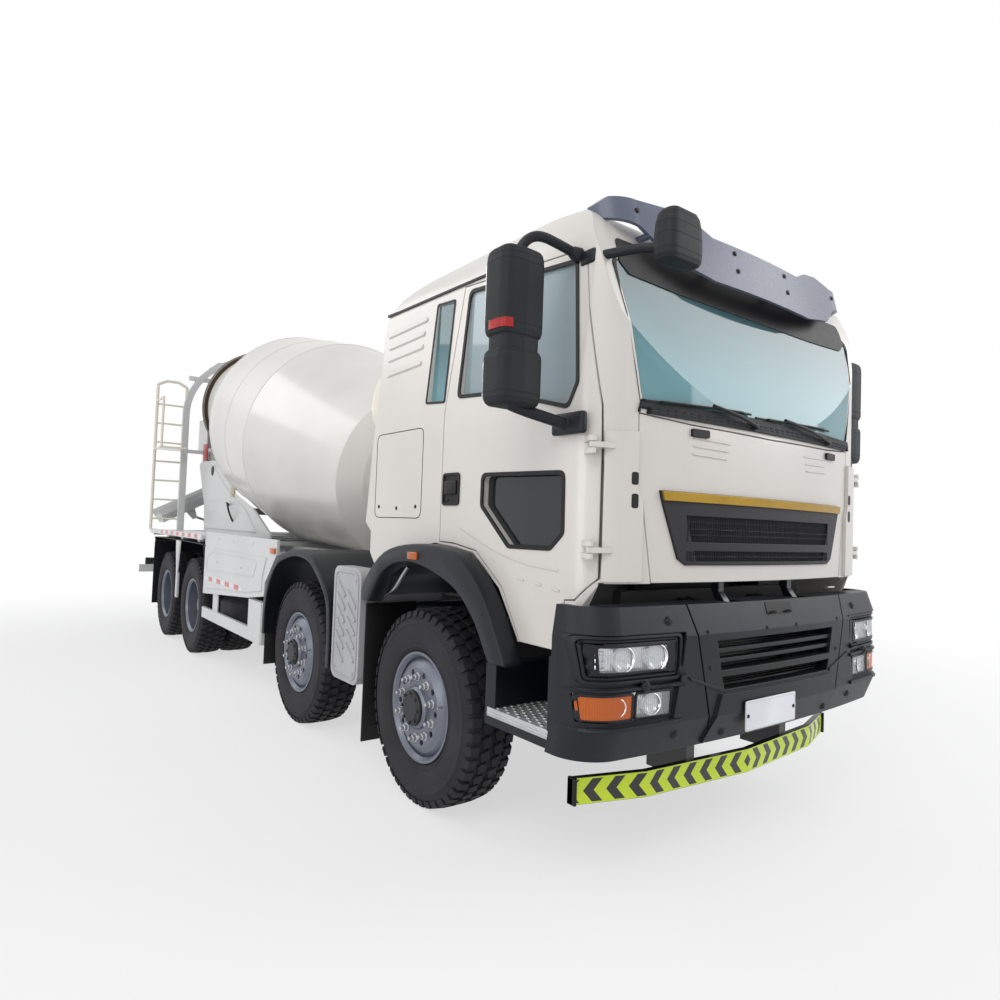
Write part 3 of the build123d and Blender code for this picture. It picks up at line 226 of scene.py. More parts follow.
class Shader(Tree):
    """A material under construction around one Principled shader."""

    def __init__(self, name: str, colour: Colour, roughness: float, **uniform: object) -> None:
        """Starts a material.

        Args:
            name: the material's name.
            colour: its base colour.
            roughness: its roughness.
            uniform: other sockets of the Principled shader that are the same all over.
        """
        self.material = bpy.data.materials.new(name)
        self.material.use_nodes = True
        super().__init__(self.material.node_tree)
        self.surface = self.tree.nodes["Principled BSDF"]
        self.put(Base_Color=(*colour, 1.0), Roughness=roughness, **uniform)

    def put(self, **sockets: object) -> "Shader":
        """Sets or links sockets of the Principled shader, with _ for the blanks in their names."""
        for name, value in sockets.items():
            self.feed(self.surface.inputs[name.replace("_", " ")], value)
        return self

    def place(self) -> Field:
        """Object coordinates, which are the row frame in metres."""
        return self.node("ShaderNodeTexCoord", out="Object")

    def axes(self, vector: Optional[Field] = None) -> tuple[Field, Field, Field]:
        """The three values of a vector, the place on the truck where none is given."""
        split = self.node("ShaderNodeSeparateXYZ", None, vector or self.place())
        outputs = split.socket.node.outputs
        return tuple(Field(self, outputs[i]) for i in range(3))

    def moved(self, scale: Sequence[float], centre: Sequence[float] = (0, 0, 0)) -> Field:
        """Place on the truck counted from a centre and scaled by axis."""
        spot = self.node("ShaderNodeVectorMath", {"operation": "SUBTRACT"}, self.place(), centre)
        return self.node("ShaderNodeVectorMath", {"operation": "MULTIPLY"}, spot, scale)

    def noise(self, scale: float, detail: float = 2.0, vector: Optional[Field] = None) -> Field:
        """Cloudy noise from nought to one."""
        return self.node("ShaderNodeTexNoise", {}, vector or self.place(), Scale=scale,
                         Detail=detail)

    def cells(self, scale: float, vector: Optional[Field] = None) -> Field:
        """Distance to the nearest of scattered points."""
        return self.node("ShaderNodeTexVoronoi", {}, vector or self.place(), Scale=scale,
                         out="Distance")

    def blend(self, factor: "Field | float", first: object, second: object) -> Field:
        """Mixes two colours, given as tuples or fields."""
        settings = {"data_type": "RGBA"}
        colours = [c if isinstance(c, Field) else (*c, 1.0) for c in (first, second)]
        made = self.node("ShaderNodeMix", settings, factor, out=2)
        for socket, colour in zip((6, 7), colours):
            self.feed(made.socket.node.inputs[socket], colour)
        return made

    def bump(self, height: Field, distance: float, strength: float = 1.0,
             rounded: float = 0.0) -> Field:
        """Turns a height field into a normal.

        Args:
            height: the height, from nought to one.
            distance: how high one stands.
            strength: the share of it that shows.
            rounded: radius by which edges are rounded, nought for none.

        Returns:
            The normal.
        """
        made = self.node("ShaderNodeBump", {}, Strength=strength, Distance=distance, Height=height,
                         out="Normal")
        if rounded:
            soft = self.node("ShaderNodeBevel", {"samples": 4}, rounded)
            self.feed(made.socket.node.inputs["Normal"], soft)
        return made


@dataclass(frozen=True)
class Paint:
    """Gloss paint on sheet metal, with a faint waviness and a fine orange peel."""

    name: str
    colour: Colour
    roughness: float = 0.3
    coat: float = 0.5
    shade: float = 0.93
    rounded: float = 0.006
    bare: Optional[Flat] = None

    def make(self) -> bpy.types.Material:
        """Builds the material, dark ahead of and below the bare place in x and z."""
        s = Shader(self.name, self.colour, self.roughness, Coat_Weight=self.coat,
                   Coat_Roughness=0.12)
        cloud = s.noise(1.1, 3.0)
        fine = s.noise(38.0, 2.0)
        dull = tuple(c * self.shade for c in self.colour)
        colour = s.blend(cloud.between(0.35, 0.75), self.colour, dull)
        if self.bare:
            x, _, z = s.axes()
            colour = s.blend((x > self.bare[0]) * (z < self.bare[1]), colour, DARK)
        peel = s.noise(24.0, 1.0) * 0.6 + s.noise(5.0, 1.0) * 8.0
        s.put(Base_Color=colour, Roughness=fine * 0.08 + (self.roughness - 0.04),
              Normal=s.bump(peel, 0.0003, 0.12, self.rounded))
        return s.material


@dataclass(frozen=True)
class Plastic:
    """Moulded plastic with a fine grain."""

    name: str
    colour: Colour
    roughness: float = 0.5
    grain: float = 0.35
    rounded: float = 0.006
    shine: float = 0.32

    def make(self) -> bpy.types.Material:
        """Builds the material."""
        s = Shader(self.name, self.colour, self.roughness, Specular_IOR_Level=self.shine)
        cloud = s.noise(2.3, 3.0)
        light = tuple(c * 1.25 + 0.001 for c in self.colour)
        s.put(Base_Color=s.blend(cloud.between(0.4, 0.8), self.colour, light),
              Roughness=s.noise(22.0) * 0.08 + (self.roughness - 0.04),
              Normal=s.bump(s.cells(420.0), 0.0003, self.grain * 0.5, self.rounded))
        return s.material


@dataclass(frozen=True)
class Metal:
    """Bare or satin metal with fine lines along one axis."""

    name: str
    colour: Colour
    roughness: float = 0.35
    lines: tuple[float, float, float] = (8.0, 260.0, 260.0)
    metallic: float = 1.0
    rounded: float = 0.003

    def make(self) -> bpy.types.Material:
        """Builds the material."""
        s = Shader(self.name, self.colour, self.roughness, Metallic=self.metallic)
        streak = s.noise(1.0, 2.0, s.moved(self.lines))
        dull = tuple(c * 0.82 for c in self.colour)
        s.put(Base_Color=s.blend(s.noise(6.0, 3.0).between(0.35, 0.75), self.colour, dull),
              Roughness=streak * 0.16 + (self.roughness - 0.08),
              Normal=s.bump(streak, 0.0003, 0.3, self.rounded))
        return s.material


@dataclass(frozen=True)
class Glazing:
    """Tinted safety glass with a faint film, its top tinted by painted reflection and its lower
    part darkened by painted shade.
    """

    name: str
    colour: Colour
    see_through: float = 0.45
    # high scales the colour towards the top (painted reflection), low scales it under about 2 m
    # (painted shade).
    high: float = 0.7
    low: float = 1.0

    def make(self) -> bpy.types.Material:
        """Builds the material."""
        s = Shader(self.name, self.colour, 0.04, IOR=1.5, Transmission_Weight=self.see_through,
                   Specular_IOR_Level=0.42)
        _, _, z = s.axes()
        # Painted light: the colour is scaled by high towards the top as painted reflection and by
        # low under about 2 m as painted shade.
        deep = tuple(c * self.high for c in self.colour)
        painted_low_shade = tuple(c * self.low for c in self.colour)
        colour = s.blend(z.between(2.2, 2.75), self.colour, deep)
        s.put(Base_Color=s.blend(z.between(1.85, 2.1), painted_low_shade, colour),
              Roughness=s.noise(9.0, 4.0) * 0.05 + 0.015,
              Normal=s.bump(s.noise(1.6, 1.0), 0.004, 0.25))
        return s.material


@dataclass(frozen=True)
class Lens:
    """Clear or coloured lamp plastic with moulded flutes."""

    name: str
    colour: Colour
    see_through: float = 0.85
    flutes: float = 90.0
    glow: float = 0.0

    def make(self) -> bpy.types.Material:
        """Builds the material."""
        s = Shader(self.name, self.colour, 0.05, IOR=1.45, Transmission_Weight=self.see_through,
                   Emission_Strength=self.glow)
        _, y, z = s.axes()
        rib = (y * self.flutes).wave()
        s.put(Emission_Color=(*self.colour, 1.0),
              Roughness=s.noise(30.0) * 0.06 + 0.03,
              Base_Color=s.blend(rib, self.colour, tuple(c * 0.85 for c in self.colour)),
              Normal=s.bump(rib + (z * self.flutes).wave() * 0.4, 0.0015, 0.4))
        return s.material


@dataclass(frozen=True)
class Rubber:
    """Tyre rubber: dusty tread, darker sidewall with moulded rings about the axle."""

    name: str
    centre: Optional[tuple[float, float]] = None

    def make(self) -> bpy.types.Material:
        """Builds the material."""
        s = Shader(self.name, (0.02, 0.019, 0.022), 0.75, Specular_IOR_Level=0.3)
        grain = s.noise(160.0, 4.0)
        light = s.noise(5.0, 4.0).between(0.35, 0.8)
        colour = s.blend(light, (0.013, 0.012, 0.015), (0.03, 0.028, 0.033))
        height = grain * 0.3
        if self.centre:
            x, _, z = s.axes()
            across, rise = x - self.centre[0], z - self.centre[1]
            radius = (across * across + rise * rise).math("SQRT")
            rings = (radius * 95.0).wave().between(0.55, 0.8)
            wall = (radius < 0.505) * (radius > 0.33)
            ribs = (rise.math("ARCTAN2", across) * (220 / math.tau)).wave()
            mould = ribs * (radius > 0.478) * wall
            height = height + rings * wall * 0.6 + mould * 0.5
            colour = s.blend(wall * 0.5, colour, (0.026, 0.024, 0.03))
        s.put(Base_Color=colour, Roughness=grain * 0.15 + 0.66, Normal=s.bump(height, 0.0015, 0.6))
        return s.material


@dataclass(frozen=True)
class Chevrons:
    """Lime bar cover with black chevrons that point outward from a diamond, on a black bar; the
    lime glows faintly as painted light.
    """

    name: str = "lime_chevrons"
    pitch: float = 0.108
    middle: float = 0.4275

    def make(self) -> bpy.types.Material:
        """Builds the material."""
        # The emission is painted light: it brightens the lime cover where the bumper shades the
        # bar.
        s = Shader(self.name, (0.46, 0.58, 0.015), 0.4, Coat_Weight=0.3, Coat_Roughness=0.1,
                   Emission_Strength=0.16)
        x, y, z = s.axes()
        slope = abs(y) * 0.0857 + (abs(y) - 0.7).math("MAXIMUM", 0.0) * 0.2286
        cover = (x + slope > 4.61) * (abs(z - self.middle) < 0.0565) * (abs(y) < 1.047)
        slant = abs(y) + abs(z - self.middle) * 0.85
        band = ((slant / self.pitch + 0.2).turns() < 0.46) * (abs(z - self.middle) < 0.05)
        faded = s.blend(s.noise(14.0, 3.0), (0.5, 0.66, 0.01), (0.58, 0.72, 0.02))
        inked = (band * cover) + (1.0 - cover)
        colour = s.blend(inked, faded, (0.008, 0.008, 0.01))
        s.put(Base_Color=colour, Emission_Color=colour, Roughness=s.noise(70.0) * 0.1 + 0.34,
              Normal=s.bump(s.cells(500.0) + band * 0.6, 0.0004, 0.4, 0.004))
        return s.material


@dataclass(frozen=True)
class Tape:
    """Reflecting tape in red and white fields along the truck, with a prism pattern."""

    name: str = "marker_tape"
    pitch: float = 0.3

    def make(self) -> bpy.types.Material:
        """Builds the material."""
        s = Shader(self.name, (0.8, 0.8, 0.8), 0.35, Coat_Weight=0.5)
        x, _, z = s.axes()
        red = (x / self.pitch).turns() < 0.5
        prism = ((x + z) * 240.0).wave() * ((x - z) * 240.0).wave()
        tone = s.blend(prism, (0.66, 0.67, 0.69), (0.84, 0.84, 0.85))
        deep = s.blend(prism, (0.5, 0.02, 0.018), (0.68, 0.04, 0.03))
        s.put(Base_Color=s.blend(red, tone, deep), Roughness=prism * 0.15 + 0.25,
              Normal=s.bump(prism, 0.0006, 0.4))
        return s.material


@dataclass(frozen=True)
class Ground:
    """Pale studio floor that keeps the shadow and fades to white away from the truck."""

    name: str = "studio_floor"
    near: float = 0.62

    def make(self) -> bpy.types.Material:
        """Builds the material."""
        s = Shader(self.name, (0.8, 0.8, 0.8), 0.85, Specular_IOR_Level=0.2)
        s.put(Base_Color=s.blend(s.noise(3.0, 3.0), (0.78, 0.78, 0.78), (0.82, 0.82, 0.82)))
        seen = s.beheld()
        x, y, _ = s.axes()
        away = (x * x + y * y).math("SQRT").between(3.5, 9.5)
        white = s.node("ShaderNodeEmission", {}, (1.0, 1.0, 1.0, 1.0), 1.0)
        lit = Field(s, s.surface.outputs[0])
        share = seen * (away * (1.0 - self.near) + self.near)
        both = s.node("ShaderNodeMixShader", {}, share, lit, white)
        s.feed(s.tree.nodes["Material Output"].inputs["Surface"], both)
        return s.material


WHITE = (0.7, 0.67, 0.635)
DARK = (0.006, 0.0078, 0.0125)
BLACK = (0.004, 0.004, 0.005)


class Finish(Enum):
    """Every finish, with the material slot of the record that it stands for."""

    CAB = Paint("cab_white", WHITE, 0.33, 0.3, bare=(4.6, 1.337)), "painted_white"
    DRUM = Paint("drum_white", (0.74, 0.72, 0.685), 0.3, 0.4, 0.9), "drum_white"
    FRAME = Paint("frame_white", (0.66, 0.665, 0.67), 0.38, 0.3), "frame_white"
    CREAM = Paint("ladder_cream", (0.8, 0.76, 0.64), 0.32, 0.4), "ladder_cream"
    CHASSIS = Paint("chassis_grey", (0.013, 0.0135, 0.017), 0.5, 0.15), "chassis_grey"
    RED = Paint("guard_red", (0.36, 0.025, 0.02), 0.4, 0.3), "frame_white"
    PLASTIC = Plastic("moulded_dark", DARK, 0.42), "dark_plastic"
    COARSE = Plastic("moulded_coarse", (0.01, 0.0115, 0.015), 0.6, 0.8), "dark_plastic"
    SEAL = Plastic("rubber_seal", BLACK, 0.5, 0.2, 0.002), "dark_plastic"
    GRILLE = Plastic("grille_grey", (0.014, 0.0135, 0.019), 0.5, 0.5), "dark_plastic"
    VISOR = Plastic("visor_smoke", (0.125, 0.14, 0.2), 0.28, 0.0, 0.0), "visor_plastic"
    SEAT = Plastic("seat_cloth", (0.05, 0.052, 0.058), 0.85, 1.0), "interior"
    COVER = Plastic("cover_light", (0.42, 0.42, 0.44), 0.45, 0.5), "cover_grey"
    PLATE = Plastic("blank_plate", (0.78, 0.8, 0.84), 0.35, 0.1), "painted_white"
    GOLD = Metal("gold_strip", (0.4, 0.25, 0.045), 0.2, (260.0, 3.0, 260.0)), "steel"
    STEEL = Metal("bare_steel", (0.42, 0.43, 0.45), 0.38), "steel"
    ALUMINIUM = Metal("aluminium", (0.55, 0.56, 0.58), 0.42, metallic=0.55), "aluminium"
    CHROME = Metal("reflector", (0.86, 0.87, 0.88), 0.1), "lamp"
    MIRROR = Metal("mirror_glass", (0.8, 0.82, 0.85), 0.05, (2.0, 2.0, 2.0)), "glass"
    WHEEL = Metal("wheel_silver", (0.175, 0.19, 0.235), 0.4, (90.0, 90.0, 90.0), 0.45), "wheel"
    HUB = Metal("hub_black", (0.02, 0.021, 0.024), 0.5, (60.0, 60.0, 60.0), 0.2), "wheel"
    RING = Metal("ring_dark", (0.07, 0.045, 0.03), 0.45, (30.0, 30.0, 30.0), 0.6), "steel"
    # The last two numbers of each glazing scale its top (painted reflection) and its low part
    # (painted shade).
    GLASS = Glazing("cab_glazing", (0.24, 0.5, 0.56), 0.4, 0.42), "glass"
    SIDE_GLASS = Glazing("side_glazing", (0.42, 0.52, 0.56), 0.35, 1.15, 0.06), "glass"
    LABEL = Plastic("blank_label", (0.5, 0.42, 0.3), 0.5, 0.1), "painted_white"
    NUT = Metal("nut_bright", (0.52, 0.53, 0.56), 0.32, (60.0, 60.0, 60.0), 0.7), "wheel"
    CLEAR = Lens("lamp_clear", (0.9, 0.92, 0.94)), "lamp"
    AMBER = Lens("lamp_amber", (0.7, 0.15, 0.012), 0.35, 120.0, 0.03), "lamp"
    CRIMSON = Lens("lamp_red", (0.55, 0.012, 0.012), 0.3, 120.0, 0.03), "lamp"
    LIME = Chevrons(), "underrun"
    TAPE = Tape(), "lamp"
    RUBBER = Rubber("spare_rubber"), "tyre"
    FLOOR = Ground(), ""

    def __init__(self, look: object, slot: str) -> None:
        """Keeps the look and the slot."""
        self.look = look
        self.slot = slot

    def material(self) -> bpy.types.Material:
        """The finish's material, made when it is first asked for."""
        found = bpy.data.materials.get(self.look.name)
        if found is None or not found.get("dressed"):
            if found is not None:
                found.name = found.name + "_plain"
            found = self.look.make()
            found["dressed"] = True
        return found


class Skin:
    """Surfaces of CAD nodes, seen from one side, that laid-on pieces follow."""

    REACH = 8.0

    def __init__(self, facing: Facing, *names: str, fallback: float = 0.0) -> None:
        """Gathers the nodes' triangles.

        Args:
            facing: the side that they are seen from.
            names: the CAD nodes.
            fallback: the depth where nothing is met.
        """
        self.facing, self.fallback = facing, fallback
        points: list[Vector] = []
        faces: list[tuple[int, ...]] = []
        for name in names:
            mesh = NODES[name].data
            start = len(points)
            points += [v.co.copy() for v in mesh.vertices]
            faces += [tuple(start + i for i in p.vertices) for p in mesh.polygons]
        self.tree = BVHTree.FromPolygons(points, faces)

    def depth(self, a: float, b: float, fallback: Optional[float] = None) -> float:
        """Looks for the surface along the facing's axis.

        Args:
            a: where, along the truck or across it.
            b: at what height.
            fallback: the answer where nothing or only the truck's far side is met.

        Returns:
            The surface's place on the axis.
        """
        axis, out = self.facing.axis, self.facing.out
        far = self.REACH * out[axis]
        hit = self.tree.ray_cast(self.facing.place(a, b, far), -out)[0]
        if hit is None or hit[axis] * far < 0:
            return self.fallback if fallback is None else fallback
        return hit[axis]

    def spot(self, a: float, b: float, lift: float = 0.0) -> Vector:
        """Point on the surface, lifted off it."""
        return self.facing.place(a, b, self.depth(a, b) + lift * self.facing.out[self.facing.axis])


def grown(points: Sequence[Flat], distance: float) -> list[Flat]:
    """Moves each side of a closed outline.

    Args:
        points: the outline.
        distance: how far outward, inward where negative.

    Returns:
        The new outline, with as many points.
    """
    ends = list(zip(points, list(points[1:]) + [points[0]]))
    turn = 1 if sum(a[0] * b[1] - b[0] * a[1] for a, b in ends) > 0 else -1
    normals = [((b[1] - a[1]) * turn, (a[0] - b[0]) * turn) for a, b in ends]
    normals = [(x / math.hypot(x, y), y / math.hypot(x, y)) for x, y in normals]
    moved = []
    for i, (x, y) in enumerate(points):
        a, b = normals[i - 1], normals[i]
        reach = distance / (1 + a[0] * b[0] + a[1] * b[1])
        moved.append((x + (a[0] + b[0]) * reach, y + (a[1] + b[1]) * reach))
    return moved


def rounded(points: Sequence[Flat], radius: float, steps: int = 5) -> list[Flat]:
    """Draws arcs at the corners of a closed outline.

    Args:
        points: the outline.
        radius: the arcs' radius, less where a side is short.
        steps: parts of each arc.

    Returns:
        The new outline.
    """
    made: list[Flat] = []
    for i, point in enumerate(points):
        corner = Vector(point)
        back = Vector(points[i - 1]) - corner
        ahead = Vector(points[(i + 1) % len(points)]) - corner
        half = back.angle(ahead) / 2
        reach = min(radius / math.tan(half), 0.45 * min(back.length, ahead.length))
        start, end = corner + back.normalized() * reach, corner + ahead.normalized() * reach
        for k in range(steps + 1):
            t = k / steps
            spot = start * (1 - t) ** 2 + corner * 2 * t * (1 - t) + end * t ** 2
            made.append((spot.x, spot.y))
    return made


def flowing(points: Sequence[Flat], steps: int = 5) -> list[Flat]:
    """Draws an open run of points out into a smooth curve.

    Args:
        points: points that the curve goes through.
        steps: parts between two of them.

    Returns:
        The curve's points.
    """
    spots = [Vector(points[0]) * 2 - Vector(points[1]), *map(Vector, points),
             Vector(points[-1]) * 2 - Vector(points[-2])]
    made: list[Flat] = []
    for i in range(1, len(spots) - 2):
        a, b, c, d = spots[i - 1:i + 3]
        for k in range(steps):
            t = k / steps
            spot = 0.5 * (2 * b + (c - a) * t + (2 * a - 5 * b + 4 * c - d) * t * t
                          + (3 * b - a - 3 * c + d) * t ** 3)
            made.append((spot.x, spot.y))
    return made + [tuple(points[-1])]


def band(points: Sequence[Flat], width: float) -> list[Flat]:
    """Widens an open run of points.

    Args:
        points: the run.
        width: how far to its right.

    Returns:
        The closed outline.
    """
    moved = []
    for i, point in enumerate(points):
        before = Vector(points[max(i - 1, 0)])
        way = (Vector(points[min(i + 1, len(points) - 1)]) - before).normalized()
        moved.append((point[0] + way.y * width, point[1] - way.x * width))
    return list(points) + moved[::-1]


def strip(low: Flat, high: Flat, width: float) -> list[Flat]:
    """Draws a straight strip.

    Args:
        low: one end.
        high: the other end.
        width: its width.

    Returns:
        Its four corners.
    """
    way = (Vector(high) - Vector(low)).normalized() * width / 2
    side = Vector((-way.y, way.x))
    ends = (Vector(low) - side, Vector(high) - side, Vector(high) + side, Vector(low) + side)
    return [(p.x, p.y) for p in ends]


def field(low: Flat, high: Flat, radius: float = 0.0) -> list[Flat]:
    """Rectangle between two corners, its own corners rounded where a radius is given."""
    corners = [low, (high[0], low[1]), high, (low[0], high[1])]
    return rounded(corners, radius, 3) if radius else corners


def sided(points: Sequence[Sequence[float]], side: int, place: int = 0) -> list[tuple]:
    """Points drawn for the left, with the value across the truck put on the side asked for."""
    return [(*p[:place], p[place] * side, *p[place + 1:]) for p in points]


def fresh(made: Sequence[object]) -> list[bmesh.types.BMVert]:
    """Vertices among what an operator made."""
    return [v for v in made if isinstance(v, bmesh.types.BMVert)]


class Shape:
    """A mesh in the row frame, built up from bmesh operators."""

    DRIFT = 0.006

    def __init__(self) -> None:
        """Starts empty."""
        self.bm = bmesh.new()

    def _soften(self, verts: Sequence[bmesh.types.BMVert], bevel: float,
                segments: int = 2) -> None:
        """Bevels the edges of some vertices.

        Args:
            verts: the vertices.
            bevel: the bevel's width, nought for none.
            segments: its segments.
        """
        if bevel:
            self.bm.normal_update()
            edges = [e for v in verts for e in v.link_edges
                     if len(e.link_faces) == 2 and e.calc_face_angle(0.0) > 0.6]
            bmesh.ops.bevel(self.bm, geom=list(dict.fromkeys(edges)), offset=bevel,
                            segments=segments, affect="EDGES", profile=0.5, material=-1,
                            clamp_overlap=True)

    def box(self, low: Sequence[float], high: Sequence[float], bevel: float = 0.0,
            segments: int = 2) -> "Shape":
        """Adds a box.

        Args:
            low: one corner.
            high: the opposite corner.
            bevel: width of its bevels.
            segments: their segments.

        Returns:
            The shape.
        """
        low, high = Vector(low), Vector(high)
        made = bmesh.ops.create_cube(self.bm, size=1.0)["verts"]
        bmesh.ops.scale(self.bm, vec=Vector([abs(v) for v in high - low]), verts=made)
        bmesh.ops.translate(self.bm, vec=(low + high) / 2, verts=made)
        self._soften(made, bevel, segments)
        return self

    def rod(self, start: Sequence[float], end: Sequence[float], radius: float,
            radius_end: Optional[float] = None, sides: int = 20, bevel: float = 0.0) -> "Shape":
        """Adds a round bar or cone.

        Args:
            start: middle of one end.
            end: middle of the other.
            radius: radius at the start.
            radius_end: radius at the end, where it is another.
            sides: its sides.
            bevel: width of the bevels round its ends.

        Returns:
            The shape.
        """
        start, end = Vector(start), Vector(end)
        way = end - start
        made = bmesh.ops.create_cone(self.bm, cap_ends=True, segments=sides, radius1=radius,
                                     radius2=radius if radius_end is None else radius_end,
                                     depth=way.length)["verts"]
        turn = way.to_track_quat("Z", "Y").to_matrix().to_4x4()
        bmesh.ops.transform(self.bm, matrix=Matrix.Translation((start + end) / 2) @ turn,
                            verts=made)
        if bevel:
            rims = [e for v in made for e in v.link_edges
                    if len(e.link_faces) == 2 and e.calc_face_angle(0.0) > 1.0]
            bmesh.ops.bevel(self.bm, geom=list(dict.fromkeys(rims)), offset=bevel, segments=2,
                            affect="EDGES", profile=0.5, material=-1)
        return self

    def stud(self, skin: Skin, at: Flat, low: float, high: float, *size: float) -> "Shape":
        """Adds a round head on a surface, from one lift to another, sized as a rod is."""
        return self.rod(skin.spot(*at, low), skin.spot(*at, high), *size)

    def turned(self, profile: Sequence[Flat], centre: Sequence[float], axis: Sequence[float],
               steps: int = 48, closed: bool = True) -> "Shape":
        """Adds an outline spun about an axis.

        Args:
            profile: the outline as distance along the axis and radius.
            centre: point that the distance counts from.
            axis: the axis.
            steps: parts of the turn.
            closed: whether the outline's ends are joined.

        Returns:
            The shape.
        """
        centre, axis = Vector(centre), Vector(axis).normalized()
        side = axis.orthogonal().normalized()
        verts = [self.bm.verts.new(centre + axis * a + side * max(r, 1e-5)) for a, r in profile]
        pairs = list(zip(verts, verts[1:] + verts[:1] if closed else verts[1:]))
        edges = [self.bm.edges.new(pair) for pair in pairs]
        bmesh.ops.spin(self.bm, geom=verts + edges, cent=centre, axis=axis, angle=math.tau,
                       steps=steps, use_merge=True)
        return self

    def sheet(self, outline: Sequence[Vector], push: Vector, bevel: float = 0.0) -> "Shape":
        """Adds a flat outline thickened along a vector."""
        verts = [self.bm.verts.new(p) for p in outline]
        face = self.bm.faces.new(verts)
        new = fresh(bmesh.ops.extrude_face_region(self.bm, geom=[face])["geom"])
        bmesh.ops.translate(self.bm, vec=push, verts=new)
        self._soften(verts + new, bevel)
        return self

    def stacked(self, outline: Sequence[Flat], levels: Sequence[Flat]) -> "Shape":
        """Adds a closed outline seen from above, drawn up through some levels.

        Args:
            outline: the outline in x and y.
            levels: each level's height and its share of the outline's size.

        Returns:
            The shape.
        """
        count = len(outline)
        middle = Vector([sum(p[i] for p in outline) / count for i in (0, 1)])
        height, share = levels[0]
        flat = [middle + (Vector(p) - middle) * share for p in outline]
        face = self.bm.faces.new([self.bm.verts.new((*p, height)) for p in flat])
        for (low, small), (high, large) in zip(levels, levels[1:]):
            made = bmesh.ops.extrude_face_region(self.bm, geom=[face])["geom"]
            face = next(g for g in made if isinstance(g, bmesh.types.BMFace))
            verts = list(face.verts)
            bmesh.ops.translate(self.bm, vec=(0, 0, high - low), verts=verts)
            bmesh.ops.scale(self.bm, vec=(large / small, large / small, 1), verts=verts,
                            space=Matrix.Translation((-middle.x, -middle.y, 0)))
        return self

    def laid(self, outline: Sequence[Flat], skin: Skin, thickness: float, pitch: float = 0.06,
             sunk: float = 0.002, hole: Optional[Sequence[Flat]] = None,
             over: float = 0.0) -> "Shape":
        """Adds a thin piece that follows a surface.

        Args:
            outline: its outline as seen from the skin's side.
            skin: the surface that it lies on.
            thickness: how far it stands proud.
            pitch: how often it is cut to follow the surface.
            sunk: how far its underside goes into the surface.
            hole: an outline that is left open inside, with as many points.
            over: step outward of the two places from which the depth is carried in over an
                opening.

        Returns:
            The shape.
        """
        facing, part = skin.facing, bmesh.new()
        rings = [[part.verts.new(facing.place(a, b)) for a, b in ring]
                 for ring in ([outline, hole] if hole else [outline])]
        if hole:
            outer, inner = rings
            for i in range(len(outer)):
                j = (i + 1) % len(outer)
                part.faces.new((outer[i], outer[j], inner[j], inner[i]))
        else:
            part.faces.new(rings[0])
        axes = [i for i in range(3) if i != facing.axis]
        for axis in axes:
            values = [v.co[axis] for v in part.verts]
            cut = math.ceil(min(values) / pitch) * pitch
            while cut < max(values):
                normal, spot = Vector((0, 0, 0)), Vector((0, 0, 0))
                normal[axis], spot[axis] = 1.0, cut
                geometry = part.verts[:] + part.edges[:] + part.faces[:]
                bmesh.ops.bisect_plane(part, geom=geometry, plane_co=spot, plane_no=normal)
                cut += pitch
        middle = Vector([sum(p[i] for p in outline) / len(outline) for i in (0, 1)])
        last = skin.depth(*middle)
        for vert in part.verts:
            spot = Vector([vert.co[i] for i in axes])
            if over:
                step = (spot - middle).normalized() * over
                last = skin.depth(*(spot + step), last)
                change = last - skin.depth(*(spot + step * 2), last)
                last += max(-self.DRIFT, min(self.DRIFT, change))
            else:
                last = skin.depth(*spot, last)
            vert.co[facing.axis] = last - facing.out[facing.axis] * sunk
        new = fresh(bmesh.ops.extrude_face_region(part, geom=part.faces[:])["geom"])
        bmesh.ops.translate(part, vec=facing.out * (thickness + sunk), verts=new)
        bmesh.ops.recalc_face_normals(part, faces=part.faces[:])
        mesh = bpy.data.meshes.new("laid")
        part.to_mesh(mesh)
        part.free()
        self.bm.from_mesh(mesh)
        bpy.data.meshes.remove(mesh)
        return self

    def tube(self, points: Sequence[Sequence[float]], radius: float,
             smooth: bool = True) -> "Shape":
        """Adds a round tube along a run of points.

        Args:
            points: the run.
            radius: the tube's radius.
            smooth: whether it bends smoothly.

        Returns:
            The shape.
        """
        curve = bpy.data.curves.new("run", "CURVE")
        curve.dimensions, curve.use_fill_caps = "3D", True
        curve.bevel_depth, curve.bevel_resolution, curve.resolution_u = radius, 4, 8
        spline = curve.splines.new("NURBS" if smooth else "POLY")
        spline.points.add(len(points) - 1)
        for spot, point in zip(spline.points, points):
            spot.co = (*point, 1.0)
        if smooth:
            spline.order_u, spline.use_endpoint_u = 3, True
        holder = bpy.data.objects.new("run", curve)
        bpy.context.scene.collection.objects.link(holder)
        graph = bpy.context.evaluated_depsgraph_get()
        made = bpy.data.meshes.new_from_object(holder.evaluated_get(graph))
        self.bm.from_mesh(made)
        bpy.data.objects.remove(holder)
        bpy.data.curves.remove(curve)
        bpy.data.meshes.remove(made)
        return self

    def rim(self, corners: Sequence[Sequence[float]], radius: float) -> "Shape":
        """Adds a round bar along a closed run of corners."""
        return self.tube([*corners, corners[0]], radius, smooth=False)

